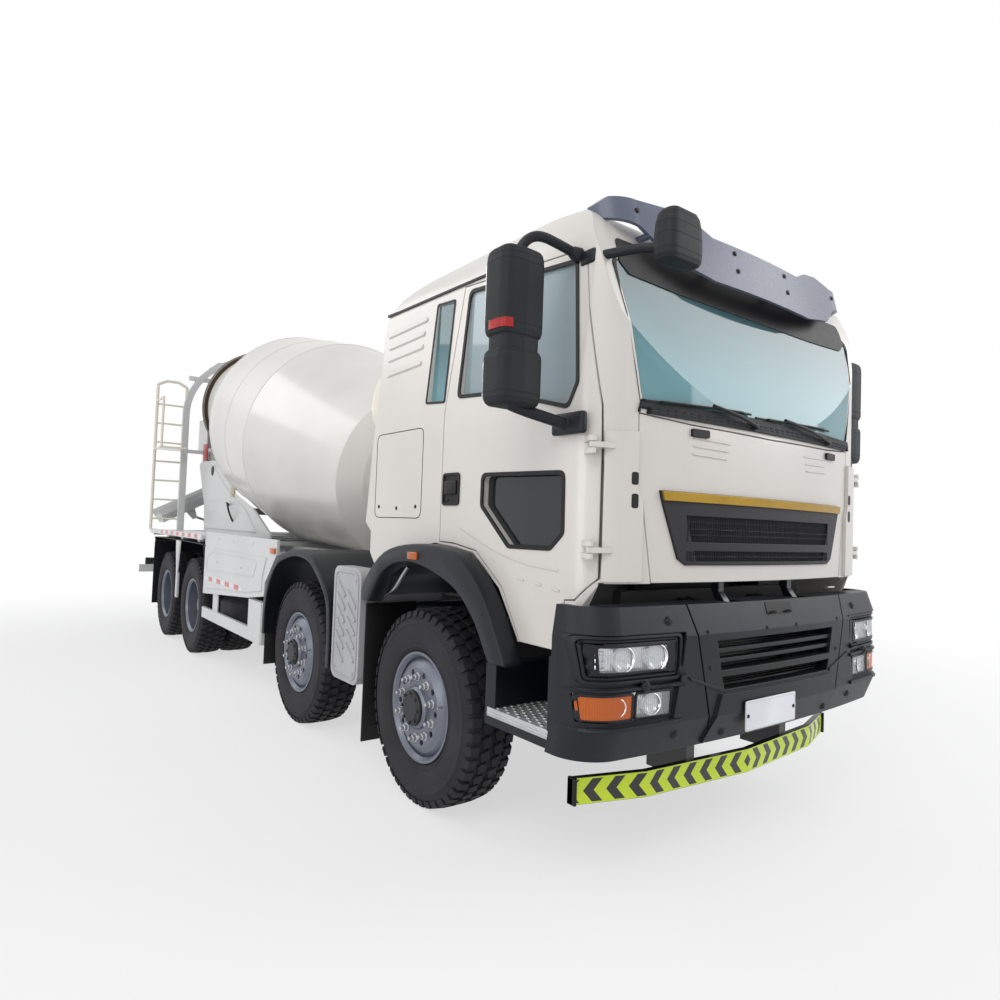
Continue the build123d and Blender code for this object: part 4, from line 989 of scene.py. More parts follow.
    def piece(self, name: str, body: str, finish: Finish, replaces: Sequence[str] = (),
              material: Optional[bpy.types.Material] = None,
              angle: float = 35.0) -> bpy.types.Object:
        """Makes the object, gives it its finish and lets it ride.

        Args:
            name: the piece's name.
            body: the CAD body it rides on.
            finish: its finish.
            replaces: CAD nodes it stands for.
            material: its material, where it is not the finish's own.
            angle: faces that meet more sharply than this keep an edge.

        Returns:
            The object.
        """
        bmesh.ops.remove_doubles(self.bm, verts=self.bm.verts[:], dist=2e-6)
        bmesh.ops.recalc_face_normals(self.bm, faces=self.bm.faces[:])
        for face in self.bm.faces:
            face.smooth = True
        for edge in self.bm.edges:
            flat = edge.calc_face_angle(0.0) < math.radians(angle)
            edge.smooth = len(edge.link_faces) == 2 and flat
        mesh = bpy.data.meshes.new(name)
        self.bm.to_mesh(mesh)
        self.bm.free()
        piece = bpy.data.objects.new(name, mesh)
        bpy.context.scene.collection.objects.link(piece)
        mesh.materials.append(material or finish.material())
        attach(piece, body)
        if replaces:
            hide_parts(*replaces)
        log.info("%s on %s: %d faces", name, body, len(mesh.polygons))
        return piece


@dataclass
class Carrier:
    """Finishes of the CAD nodes that stay."""

    def dress(self) -> None:
        """Gives every CAD node its finish."""
        table = {
            Finish.CAB: ("cab_shell", "front_panel", "door_right", "door_left"),
            Finish.DRUM: ("drum_shell",),
            Finish.FRAME: ("mixer_subframe", "rear_pedestal", "hopper", "collector", "chute",
                           "chute_turntable", "rear_deck", "side_skirts", "jack_barrel"),
            Finish.CREAM: ("ladder", "water_tank"),
            Finish.CHASSIS: ("chassis_frame", "front_axles", "rear_axles", "powertrain",
                             "drum_reducer", *(n for n in NODES if n.startswith("knuckle_"))),
            Finish.PLASTIC: ("bumper", "step_boxes"),
            Finish.GRILLE: ("grille",),
            Finish.VISOR: ("sun_visor",),
            Finish.GLASS: ("cab_glass",),
            Finish.SIDE_GLASS: ("door_glass_right", "door_glass_left"),
            Finish.SEAT: ("cab_interior",),
            Finish.COVER: ("side_boxes",),
            Finish.ALUMINIUM: ("fuel_tank",),
            Finish.STEEL: ("jack_rod",),
            Finish.LIME: ("underrun_bar",),
            Finish.RUBBER: ("spare_wheel",),
            Finish.WHEEL: tuple(n for n in NODES if n.startswith("wheel_")),
        }
        for finish, names in table.items():
            for name in names:
                for slot in NODES[name].material_slots:
                    slot.material = finish.material()
                log.info("%s dressed in %s", name, finish.look.name)


@dataclass
class Tyre:
    """A block-tread tyre, or a pair of them, in place of a plain CAD ring."""

    x: float
    side: int
    middles: tuple[float, ...]
    code: str
    radius: float = HUB_Z
    pitches: int = 46
    groove: float = 0.017
    bite: float = 0.006
    shoulder: float = 0.1

    def carcass(self, shape: Shape, y: float) -> None:
        """Adds the turned sidewalls and the floor of the tread."""
        base = self.radius - self.groove
        wall = [(-0.111, 0.287), (-0.118, 0.306), (-0.133, 0.318), (-0.1385, 0.332),
                (-0.136, 0.336), (-0.143, 0.36), (-0.1487, 0.4), (-0.149, 0.43), (-0.1475, 0.452),
                (-0.1495, 0.456), (-0.1485, 0.462), (-0.144, 0.466), (-0.139, 0.487),
                (-0.13, 0.505), (-0.118, base - 0.004), (-0.1, base), (-0.05, base + 0.001)]
        profile = wall + [(-a, r) for a, r in reversed(wall)]
        shape.turned(profile, (self.x, y, HUB_Z), (0, 1, 0), 96)

    def block(self, shape: Shape, across: float, size: Flat,
              slant: float) -> list[bmesh.types.BMVert]:
        """Adds one block at the top of the wheel, about its middle plane.

        Args:
            shape: the mesh that it goes into.
            across: how far it is off the middle.
            size: its length and its width.
            slant: its turn, in radians.

        Returns:
            Its vertices.
        """
        bm, deep = shape.bm, self.groove + self.bite
        part = bmesh.ops.create_cube(bm, size=1.0)["verts"]
        bmesh.ops.scale(bm, vec=(*size, deep), verts=part)
        bmesh.ops.scale(bm, vec=(0.93, 0.95, 1.0), verts=[v for v in part if v.co.z > 0])
        bmesh.ops.rotate(bm, cent=(0, 0, 0), matrix=Matrix.Rotation(slant, 3, "Z"), verts=part)
        lift = self.radius - deep / 2 - abs(across) ** 3 * 2.2
        bmesh.ops.translate(bm, vec=(0, across, lift), verts=part)
        if abs(across) > self.shoulder:
            outer = [v for v in part if v.co.y * across > abs(across) * abs(across)]
            bmesh.ops.translate(bm, vec=(0, 0, -0.007), verts=outer)
            low = [v for v in outer if v.co.z < self.radius - 0.02]
            bmesh.ops.translate(bm, vec=(0, math.copysign(0.011, across), -0.012), verts=low)
        return part

    def tread(self, shape: Shape, y: float) -> None:
        """Adds the blocks: shoulder lugs that reach down the wall and two staggered rows."""
        arc = math.tau / self.pitches
        rows = ((-0.107, 0.052, 0.66, 0.0, 0.0), (0.107, 0.052, 0.66, 0.5, 0.0),
                (-0.038, 0.052, 0.74, 0.45, 0.35), (0.038, 0.052, 0.74, 0.05, 0.35))
        centre = Matrix.Translation((self.x, y, HUB_Z))
        for across, width, share, phase, slant in rows:
            for i in range(self.pitches):
                part = self.block(shape, across, (arc * self.radius * share, width), slant)
                turn = Matrix.Rotation((i + phase) * arc, 4, "Y")
                bmesh.ops.transform(shape.bm, matrix=centre @ turn, verts=part)
                for v in part:
                    reach = math.hypot(v.co.x - self.x, v.co.z - HUB_Z)
                    if reach > self.radius:
                        k = self.radius / reach
                        v.co.x = self.x + (v.co.x - self.x) * k
                        v.co.z = HUB_Z + (v.co.z - HUB_Z) * k

    def build(self) -> None:
        """Builds the piece and lets it stand for the CAD tyre."""
        shape = Shape()
        for middle in self.middles:
            self.carcass(shape, self.side * middle)
            self.tread(shape, self.side * middle)
        name = "tyre_rubber_%.2f" % self.x
        rubber = bpy.data.materials.get(name) or Rubber(name, (self.x, HUB_Z)).make()
        shape.piece(f"tread_{self.code}", f"wheel_{self.code}", Finish.RUBBER,
                    [f"tyre_{self.code}"], rubber, 40.0)


@dataclass
class WheelTrim:
    """Nuts, hub cap and valve of one wheel."""

    x: float
    side: int
    face: float
    hub: float
    code: str
    circle: float = 0.1675
    nuts: int = 10
    screws: int = 8

    def around(self, count: int, radius: float, start: float = 0.0) -> list[Vector]:
        """Steps from the axle to places on a circle."""
        angles = [math.tau * (i + start) / count for i in range(count)]
        return [Vector((math.cos(a), 0, math.sin(a))) * radius for a in angles]

    def build(self) -> None:
        """Builds the nuts and the hub."""
        nuts, hub = Shape(), Shape()
        out = Vector((0, self.side, 0))
        centre = Vector((self.x, self.side * self.face, HUB_Z))
        for step in self.around(self.nuts, self.circle, 0.5):
            spot = centre + step
            nuts.rod(spot - out * 0.002, spot + out * 0.006, 0.024, sides=20, bevel=0.002)
            nuts.rod(spot, spot + out * 0.026, 0.0185, sides=6, bevel=0.002)
            nuts.rod(spot + out * 0.02, spot + out * 0.048, 0.0115, 0.0105, 16, 0.002)
        valve = centre + Vector((0.23, 0, 0.05))
        nuts.tube([valve - out * 0.03, valve + out * 0.01,
                   valve + out * 0.03 + Vector((0.03, 0, 0.005))], 0.004)
        nuts.piece(f"nuts_{self.code}", f"wheel_{self.code}", Finish.NUT)
        rows = ((0.25, 0.117), (0.3, 0.1), (0.8, 0.096), (0.9, 0.088), (0.92, 0.07), (1.0, 0.066),
                (1.0, 0.0))
        profile = [(-0.01, 0.0), (-0.01, 0.116)] + [(self.hub * a, r) for a, r in rows]
        hub.turned([(a * self.side, r) for a, r in profile], centre, (0, 1, 0), 40, closed=False)
        for step in self.around(self.screws, 0.082):
            spot = centre + step + out * self.hub * 0.86
            hub.rod(spot, spot + out * 0.012, 0.009, sides=6, bevel=0.001)
        hub.piece(f"hub_{self.code}", f"wheel_{self.code}", Finish.HUB)


@dataclass
class RunningGear:
    """All tyres and wheel trim."""

    axles: tuple[float, ...] = (3.3, 1.47, -1.71, -3.06)
    front_y: float = 1.015
    twin_y: Flat = (1.057, 0.717)

    def build(self) -> None:
        """Builds every wheel."""
        for number, x in enumerate(self.axles, start=1):
            for side, _, name in SIDES:
                code = f"{number}_{name}"
                if number < 3:
                    Tyre(x, side, (self.front_y,), code).build()
                    WheelTrim(x, side, self.front_y + 0.14, 0.05, code).build()
                else:
                    Tyre(x, side, self.twin_y, code).build()
                    WheelTrim(x, side, self.twin_y[0] - 0.16, 0.19, code).build()


@dataclass
class FrontTrim:
    """Trim of the service panel and grille, which lifts with it."""

    step: float = 0.0125
    wire: float = 0.0012
    gold: Outline = ((-0.778, 1.742), (-0.766, 1.702), (0.766, 1.702), (0.778, 1.742))

    def mesh(self) -> None:
        """Builds the wires behind the grille's openings."""
        wires, back = Shape(), Skin(Facing.FRONT, "grille", fallback=FRONT_X)
        for y in [i * self.step for i in range(-49, 50)]:
            for low, high in ((1.523, 1.638), (1.436, 1.481)):
                x = back.depth(y, (low + high) / 2)
                wires.box((x - 0.001, y - self.wire, low), (x + 0.0025, y + self.wire, high))
        for z in [1.53 + i * self.step for i in range(9)] + [1.444, 1.456, 1.468]:
            for y in [i * 0.2 for i in range(-3, 3)]:
                x = back.depth(y + 0.1, z)
                wires.box((x - 0.001, y, z - self.wire), (x + 0.003, y + 0.2, z + self.wire))
        wires.piece("grille_mesh", "front_flap", Finish.GRILLE)

    def build(self) -> None:
        """Builds the gold strip, the mesh behind the grille and the embossed lines."""
        panel = Skin(Facing.FRONT, "front_panel", "grille", "cab_shell")
        Shape().laid(self.gold, panel, 0.012, 0.08).piece("gold_strip", "front_flap", Finish.GOLD)
        self.mesh()
        lines = Shape()
        for side in (-1, 1):
            for i, z in enumerate((1.985, 1.948, 1.911)):
                near, far = side * (0.33 + 0.012 * i), side * (0.58 + 0.004 * i)
                lines.laid([(near, z), (far, z + 0.006), (far, z + 0.014), (near, z + 0.007)],
                           panel, 0.004)
        lines.piece("panel_ribs", "front_flap", Finish.CAB)


@dataclass
class GlassTrim:
    """Rubber seals round the cab's windows."""

    width: float = 0.014
    lip: float = 0.006
    corner: float = 0.03
    proud: float = 0.004
    pitch: float = 0.25
    door: Outline = ((3.548, 2.257), (3.6, 2.82), (4.43, 2.745), (4.478, 2.2),
                     (4.427, 2.1), (3.9, 2.234))
    low: Outline = ((3.81, 1.817), (4.412, 1.805), (4.417, 1.544), (4.337, 1.475),
                    (4.038, 1.472), (3.809, 1.666))
    quarter: Outline = ((3.272, 2.819), (3.44, 2.806), (3.4, 2.251), (3.216, 2.267))
    screen: Outline = ((-0.884, 2.11), (0.884, 2.11), (1.015, 2.73), (0.96, 2.77),
                       (-0.96, 2.77), (-1.015, 2.73))

    def frame(self, shape: Shape, outline: Sequence[Flat], skin: Skin, over: float) -> None:
        """Adds one seal.

        Args:
            shape: the mesh that it goes into.
            outline: the window's outline.
            skin: the surface round it.
            over: how far outside it the surface is felt.
        """
        outer = rounded(grown(outline, self.width), self.corner + self.width)
        inner = rounded(grown(outline, -self.lip), self.corner)
        shape.laid(outer, skin, self.proud, self.pitch, self.proud, inner, over)

    def build(self) -> None:
        """Builds the seals of the doors, quarter windows and windscreen."""
        for side, facing, name in SIDES:
            skin = Skin(facing, "cab_shell", f"door_{name}")
            seals = Shape()
            for outline in (self.door, self.low) if side < 0 else (self.door,):
                self.frame(seals, outline, skin, self.width)
            seals.piece(f"door_seal_{name}", f"door_{name}", Finish.SEAL)
            outer = rounded(grown(self.quarter, self.width), 0.02)
            inner = rounded(grown(self.quarter, 0.001), 0.008)
            quarter = Shape().laid(outer, skin, self.proud, self.pitch, self.proud, inner)
            quarter.piece(f"quarter_seal_{name}", "cab", Finish.SEAL)
        seal = Shape()
        self.frame(seal, self.screen, Skin(Facing.FRONT, "cab_shell"), self.lip)
        seal.piece("screen_seal", "cab", Finish.SEAL)


@dataclass
class LampSet:
    """Head and fog lamps with reflectors behind clear lenses, and the rear lamps."""

    head: Outline = ((0.8, 0.982), (0.797, 1.099), (1.172, 1.1), (1.162, 0.984))
    socket: Outline = ((0.757, 0.972), (0.752, 1.106), (1.205, 1.108), (1.19, 0.975))
    amber: Outline = ((0.998, 0.795), (0.993, 0.906), (1.225, 0.906), (1.215, 0.797))
    fog: Outline = ((0.785, 0.793), (0.78, 0.906), (0.985, 0.906), (0.99, 0.795))
    corner: float = 0.016
    pitch: float = 0.02

    def bowl(self, shape: Shape, skin: Skin, y: float, z: float, radius: float) -> None:
        """Adds a round reflector with its bulb behind the lens.

        Args:
            shape: the mesh that it goes into.
            skin: the lens.
            y: its place across the truck.
            z: its height.
            radius: its radius.
        """
        spot = skin.spot(y, z, -0.029)
        axis = (0.96, 0.28 * math.copysign(1, y), 0)
        rows = [(0.0, 0.008), (0.003, radius * 0.4), (0.011, radius * 0.72),
                (0.024, radius * 0.97), (0.027, radius), (0.027, radius + 0.004),
                (-0.004, radius + 0.004), (-0.004, 0.008)]
        bulb = [(-0.002, 0.0), (-0.002, 0.009), (0.016, 0.009), (0.019, 0.006), (0.021, 0.0)]
        shape.turned(rows, spot, axis, 32).turned(bulb, spot, axis, 16, closed=False)

    def front(self) -> None:
        """Builds the lamps in the bumper."""
        skin, rim = Skin(Facing.FRONT, "lamps"), Skin(Facing.FRONT, "lamps", "bumper")
        back, clear, amber, frame = Shape(), Shape(), Shape(), Shape()
        bowls = ((0.86, 1.04, 0.054), (1.04, 1.042, 0.05), (0.885, 0.85, 0.043),
                 (1.065, 0.851, 0.034))
        for side in (-1, 1):
            for outline in (self.head, self.amber, self.fog):
                flat = rounded(grown(sided(outline, side), -0.003), self.corner)
                back.laid(flat, skin, -0.026, self.pitch, 0.033)
                lens = amber if outline is self.amber else clear
                lens.laid(flat, skin, 0.0, self.pitch, 0.004)
                frame.laid(grown(flat, 0.004), rim, 0.003, self.pitch, 0.004,
                           grown(flat, -0.006))
            socket, lens = (rounded(sided(o, side), self.corner)
                            for o in (self.socket, self.head))
            frame.laid(socket, rim, 0.001, self.pitch, 0.03, lens)
            for y, z, radius in bowls:
                self.bowl(back, skin, side * y, z, radius)
            for z in [1.015 + i * 0.026 for i in range(3)]:
                x = skin.depth(side * 1.14, z) - 0.028
                back.box((x, side * 1.11, z - 0.009), (x + 0.012, side * 1.17, z + 0.009), 0.003)
        back.piece("lamp_reflectors", "chassis", Finish.CHROME, ["lamps"])
        clear.piece("lamp_lenses", "chassis", Finish.CLEAR)
        amber.piece("turn_lenses", "chassis", Finish.AMBER)
        frame.piece("lamp_frames", "chassis", Finish.PLASTIC)

    def rear(self) -> None:
        """Builds the rear lamps with their three fields."""
        case, red, amber, clear = Shape(), Shape(), Shape(), Shape()
        for side in (-1, 1):
            case.box((-4.838, side * 0.7, 0.801), (-4.801, side * 1.15, 0.9), 0.008, 3)
            for low, high, lens in ((0.715, 0.84, red), (0.845, 0.99, clear),
                                    (0.995, 1.135, amber)):
                y = side * (low + high) / 2
                lens.box((-4.849, side * low, 0.812), (-4.835, side * high, 0.889), 0.006, 3)
                lens.rod((-4.84, y, 0.85), (-4.8488, y, 0.85), 0.03, 0.02, 24, 0.002)
        case.piece("rear_lamp_cases", "chassis", Finish.COARSE)
        red.piece("tail_lenses", "chassis", Finish.CRIMSON)
        amber.piece("rear_turn_lenses", "chassis", Finish.AMBER)
        clear.piece("reverse_lenses", "chassis", Finish.CLEAR)

    def build(self) -> None:
        """Builds all lamps."""
        self.front()
        self.rear()


@dataclass
class BumperTrim:
    """Bezels, sensors, screws and blank plate of the bumper, and the bar's end pads."""

    sensors: Outline = ((-0.796, 1.183), (-0.937, 0.928), (-0.743, 0.706),
                        (-0.442, 0.679), (0.442, 0.679), (0.743, 0.706),
                        (0.937, 0.928), (0.796, 1.183))
    screws: Outline = ((-0.568, 1.13), (-0.547, 0.972), (0.547, 0.972), (0.568, 1.13),
                       (-0.13, 1.125), (0.13, 1.125))
    crease: Outline = ((0.47, 0.86), (0.68, 0.93), (0.69, 0.945), (0.47, 0.875))
    edges: tuple[tuple[Flat, Flat], ...] = (((0.735, 0.768), (1.215, 0.768)),
                                            ((0.722, 0.92), (1.222, 0.922)))

    def bezels(self, skin: Skin) -> Shape:
        """Steps round the lamps and the edges under them."""
        rims = Shape()
        for side in (-1, 1):
            lamp = sided(LampSet.socket, side)
            for proud, outer, corner, inner, inside in ((0.016, 0.03, 0.03, 0.017, 0.022),
                                                        (0.008, 0.012, 0.02, 0.003, 0.018)):
                rims.laid(rounded(grown(lamp, outer), corner), skin, proud, 0.05, 0.004,
                          rounded(grown(lamp, inner), inside))
            for ends in self.edges:
                rims.laid(strip(*sided(ends, side), 0.016), skin, 0.01, 0.05)
            rims.laid(sided(self.crease, side), skin, 0.006, 0.05)
        return rims

    def plate(self, skin: Skin, dots: Shape) -> Shape:
        """Draws the blank plate with its raised edge, and adds its screws to the dots."""
        plate = Shape()
        x = max(skin.depth(y, 0.76) for y in (-0.33, -0.12, 0.09)) + 0.004
        flat = field((-0.33, 0.668), (0.09, 0.806), 0.012)
        plate.sheet([Vector((x, y, z)) for y, z in flat], Vector((0.003, 0, 0)))
        plate.rim([Vector((x + 0.002, y, z)) for y, z in grown(flat, -0.007)], 0.0022)
        for y in (-0.31, 0.07):
            dots.rod((x, y, 0.737), (x + 0.007, y, 0.737), 0.009, 0.008, 16, 0.001)
        return plate

    def build(self) -> None:
        """Builds the pieces."""
        skin = Skin(Facing.FRONT, "bumper", "lamps")
        rims, dots, recess_shade_and_loops = self.bezels(skin), Shape(), Shape()
        for at in self.sensors:
            rims.stud(skin, at, -0.01, 0.005, 0.024, 0.021, 28, 0.002)
            dots.stud(skin, at, 0.0, 0.009, 0.014, 0.013, 24, 0.002)
        for at in self.screws:
            dots.stud(skin, at, -0.01, 0.004, 0.011, 0.009, 20, 0.0015)
        # A black sheet laid on the bumper stands for the tow recess as painted shade; the two loops
        # in it are real parts.
        recess_shade_and_loops.laid(field((-0.105, 1.186), (0.115, 1.242), 0.012), skin, 0.003, 0.04)
        for y in (-0.06, 0.07):
            x = skin.depth(y, 1.2)
            recess_shade_and_loops.tube([(x, y - 0.02, 1.19), (x + 0.022, y - 0.02, 1.2), (x + 0.022, y + 0.02, 1.2),
                       (x, y + 0.02, 1.19)], 0.006)
        core = Shape().box((4.52, -0.95, 0.8), (4.55, 0.95, 1.12), 0.004)
        for z in [0.812 + i * 0.012 for i in range(25)]:
            core.box((4.548, -0.92, z), (4.558, 0.92, z + 0.004))
        core.piece("cooler_core", "chassis", Finish.CHASSIS)
        plate = self.plate(skin, dots)
        rims.piece("bumper_bezels", "chassis", Finish.PLASTIC)
        dots.piece("bumper_sensors", "chassis", Finish.SEAL)
        recess_shade_and_loops.piece("tow_recess", "chassis", Finish.SEAL)
        plate.piece("blank_front_plate", "chassis", Finish.PLATE)
        pads = Shape()
        for side in (-1, 1):
            pads.box((4.417, side * 1.035, 0.368), (4.466, side * 1.05, 0.487), 0.004)
        pads.piece("bar_end_pads", "chassis", Finish.SEAL)


@dataclass
class ScreenTrim:
    """Black band over the windscreen, cowl under it and the two wipers."""

    top: Outline = ((-0.975, 2.86), (-0.985, 2.74), (-0.93, 2.69), (-0.6, 2.678),
                    (0.6, 2.678), (0.93, 2.69), (0.985, 2.74), (0.975, 2.86))
    sill: Outline = ((-0.915, 2.074), (-0.3, 2.068), (0.3, 2.068), (0.915, 2.074),
                     (0.9, 2.128), (0.0, 2.135), (-0.9, 2.128))
    wipers: tuple[Outline, ...] = (
        ((-0.89, 2.128), (-0.18, 2.15), (-0.164, 2.092), (-0.49, 2.15)),
        ((-0.14, 2.138), (0.6, 2.158), (0.574, 2.09), (0.1, 2.153)))

    def blade(self, shape: Shape, skin: Skin, start: Flat, end: Flat, base: Flat,
              meet: Flat) -> None:
        """Adds one wiper.

        Args:
            shape: the mesh that it goes into.
            skin: the surface that it lies on.
            start: one end of the blade in y and z.
            end: the other end.
            base: where the arm turns.
            meet: where the arm meets the blade.
        """
        run = [Vector(start).lerp(Vector(end), t / 8) for t in range(9)]
        shape.tube([skin.spot(*p, 0.012) for p in run], 0.006)
        shape.tube([skin.spot(*p, 0.026) for p in run[1:-1]], 0.005)
        for p in run[1:-1:2]:
            shape.tube([skin.spot(*p, 0.01), skin.spot(*p, 0.028)], 0.005, smooth=False)
        arm = [(Vector(base).lerp(Vector(meet), share), lift)
               for share, lift in ((0.0, 0.028), (0.3, 0.042), (0.7, 0.042), (1.0, 0.03))]
        shape.tube([skin.spot(*p, lift) for p, lift in arm], 0.0085)
        shape.stud(skin, base, -0.005, 0.036, 0.021, 0.016, 24, 0.003)

    def build(self) -> None:
        """Builds the pieces."""
        skin = Skin(Facing.FRONT, "cab_shell", "cab_glass", fallback=FRONT_X)
        top = Shape().laid(rounded(self.top, 0.03), skin, 0.005, 0.05, 0.004)
        top.piece("screen_band", "cab", Finish.SEAL)
        cowl = Shape().laid(rounded(self.sill, 0.012), skin, 0.014, 0.05)
        for y in [-0.86 + i * 0.0491 for i in range(36)]:
            x = skin.depth(y, 2.095) + 0.012
            for z in (2.084, 2.098):
                cowl.box((x, y, z), (x + 0.005, y + 0.03, z + 0.004), 0.0008, 1)
        cowl.piece("wiper_cowl", "cab", Finish.COARSE)
        wipers, tabs, panel = Shape(), Shape(), Skin(Facing.FRONT, "front_panel")
        for places in self.wipers:
            self.blade(wipers, skin, *places)
        wipers.piece("wipers", "cab", Finish.SEAL)
        for low, high in ((-0.6, -0.49), (0.59, 0.7)):
            tabs.laid(field((low, 2.0), (high, 2.036), 0.008), panel, 0.014, 0.05)
        tabs.piece("panel_tabs", "front_flap", Finish.SEAL)


@dataclass
class CabSideTrim:
    """Gutter, hatch line, ribs, handle, arch marker and the painted shade in the corner openings of
    the cab.
    """

    gutter: Outline = ((2.645, 2.893), (3.8, 2.868), (3.8, 2.882), (2.645, 2.908))
    ribs: Run = (
        (2.758, 2.68, 3.16), (2.678, 2.69, 3.14), (2.6, 2.69, 3.13), (2.502, 2.69, 3.12))
    knobs: Outline = ((2.68, 1.66), (3.14, 1.66), (2.91, 1.65))
    crease: Outline = ((3.62, 1.556), (3.9, 1.46), (4.15, 1.405), (4.4, 1.385))
    dashes: Outline = ((4.12, 1.324), (4.245, 1.311), (4.365, 1.297))

    def shell(self, facing: Facing, name: str) -> None:
        """Builds the gutter, ribs and hatch of a side of the cab.

        Args:
            facing: the side that it looks at.
            name: the side's name.
        """
        skin = Skin(facing, "cab_shell")
        Shape().laid(self.gutter, skin, 0.01, 0.2).piece(f"gutter_{name}", "cab", Finish.SEAL)
        ribs, hatch = Shape(), Shape()
        for z, low, high in self.ribs:
            outline = rounded(strip((low, z), (high, z + 0.012), 0.03), 0.014, 3)
            ribs.laid(outline, skin, 0.0045, 0.2).laid(grown(outline, -0.006), skin, 0.008, 0.2)
        ribs.piece(f"cab_ribs_{name}", "cab", Finish.CAB)
        frame = field((2.622, 1.59), (3.205, 2.122), 0.05)
        hatch.laid(frame, skin, 0.0012, 0.3, 0.001, grown(frame, -0.005))
        for at in self.knobs:
            hatch.stud(skin, at, -0.001, 0.004, 0.012, 0.01, 20, 0.001)
        hatch.piece(f"hatch_line_{name}", "cab", Finish.SEAL)

    def door(self, side: int, facing: Facing, name: str) -> None:
        """Builds a door's handle and pressed marks.

        Args:
            side: the side's sign across the truck.
            facing: the side that it looks at.
            name: the side's name.
        """
        door = Skin(facing, f"door_{name}")
        cup = field((3.438, 1.665), (3.602, 1.842), 0.024)
        grip = Shape().laid(cup, door, 0.008, 0.3, 0.002, grown(cup, -0.014))
        grip.laid(grown(cup, -0.012), door, 0.002, 0.3)
        y = door.depth(3.52, 1.75)
        grip.box((3.462, y, 1.725), (3.578, y + side * 0.014, 1.8), 0.006, 3)
        grip.rod((3.487, y, 1.695), (3.487, y + side * 0.007, 1.695), 0.01, 0.009, 20, 0.001)
        grip.piece(f"door_handle_{name}", f"door_{name}", Finish.SEAL)
        marks = Shape()
        for x, z in self.dashes:
            marks.laid(rounded(strip((x, z), (x + 0.045, z - 0.005), 0.014), 0.006, 3), door,
                       0.004, 0.3)
        marks.laid(band(flowing(self.crease), 0.012), door, 0.003, 0.1)
        marks.piece(f"door_marks_{name}", f"door_{name}", Finish.CAB)

    def build(self) -> None:
        """Builds both sides."""
        for side, facing, name in SIDES:
            self.shell(facing, name)
            self.door(side, facing, name)
            lamp = Shape().box((3.285, side * 1.236, 1.362), (3.385, side * 1.252, 1.405), 0.006, 3)
            lamp.piece(f"arch_marker_{name}", "cab", Finish.AMBER)
        # Black sheets laid flat on the front corners stand for the openings there: painted shade.
        opening_shade, front = Shape(), Skin(Facing.FRONT, "cab_shell")
        for side in (-1, 1):
            for ends in (((0.912, 1.66), (0.948, 1.722)), ((0.914, 1.76), (0.95, 1.815))):
                outline = rounded(sided(field(*ends), side), 0.012, 3)
                opening_shade.laid(outline, front, 0.0015, 0.1)
        opening_shade.piece("corner_openings", "cab", Finish.SEAL)


@dataclass
class VisorTrim:
    """Screw heads of the visor."""

    spots: Outline = ((0.225, 2.955), (0.225, 2.86), (0.865, 3.0))

    def build(self) -> None:
        """Builds the screws."""
        skin, heads = Skin(Facing.FRONT, "sun_visor", fallback=4.6), Shape()
        for side in (-1, 1):
            for at in sided(self.spots, side):
                heads.stud(skin, at, -0.01, 0.002, 0.017, 0.016, 24, 0.001)
                heads.stud(skin, at, 0.0, 0.008, 0.0095, 0.008, 20, 0.002)
        heads.piece("visor_screws", "cab", Finish.SEAL)


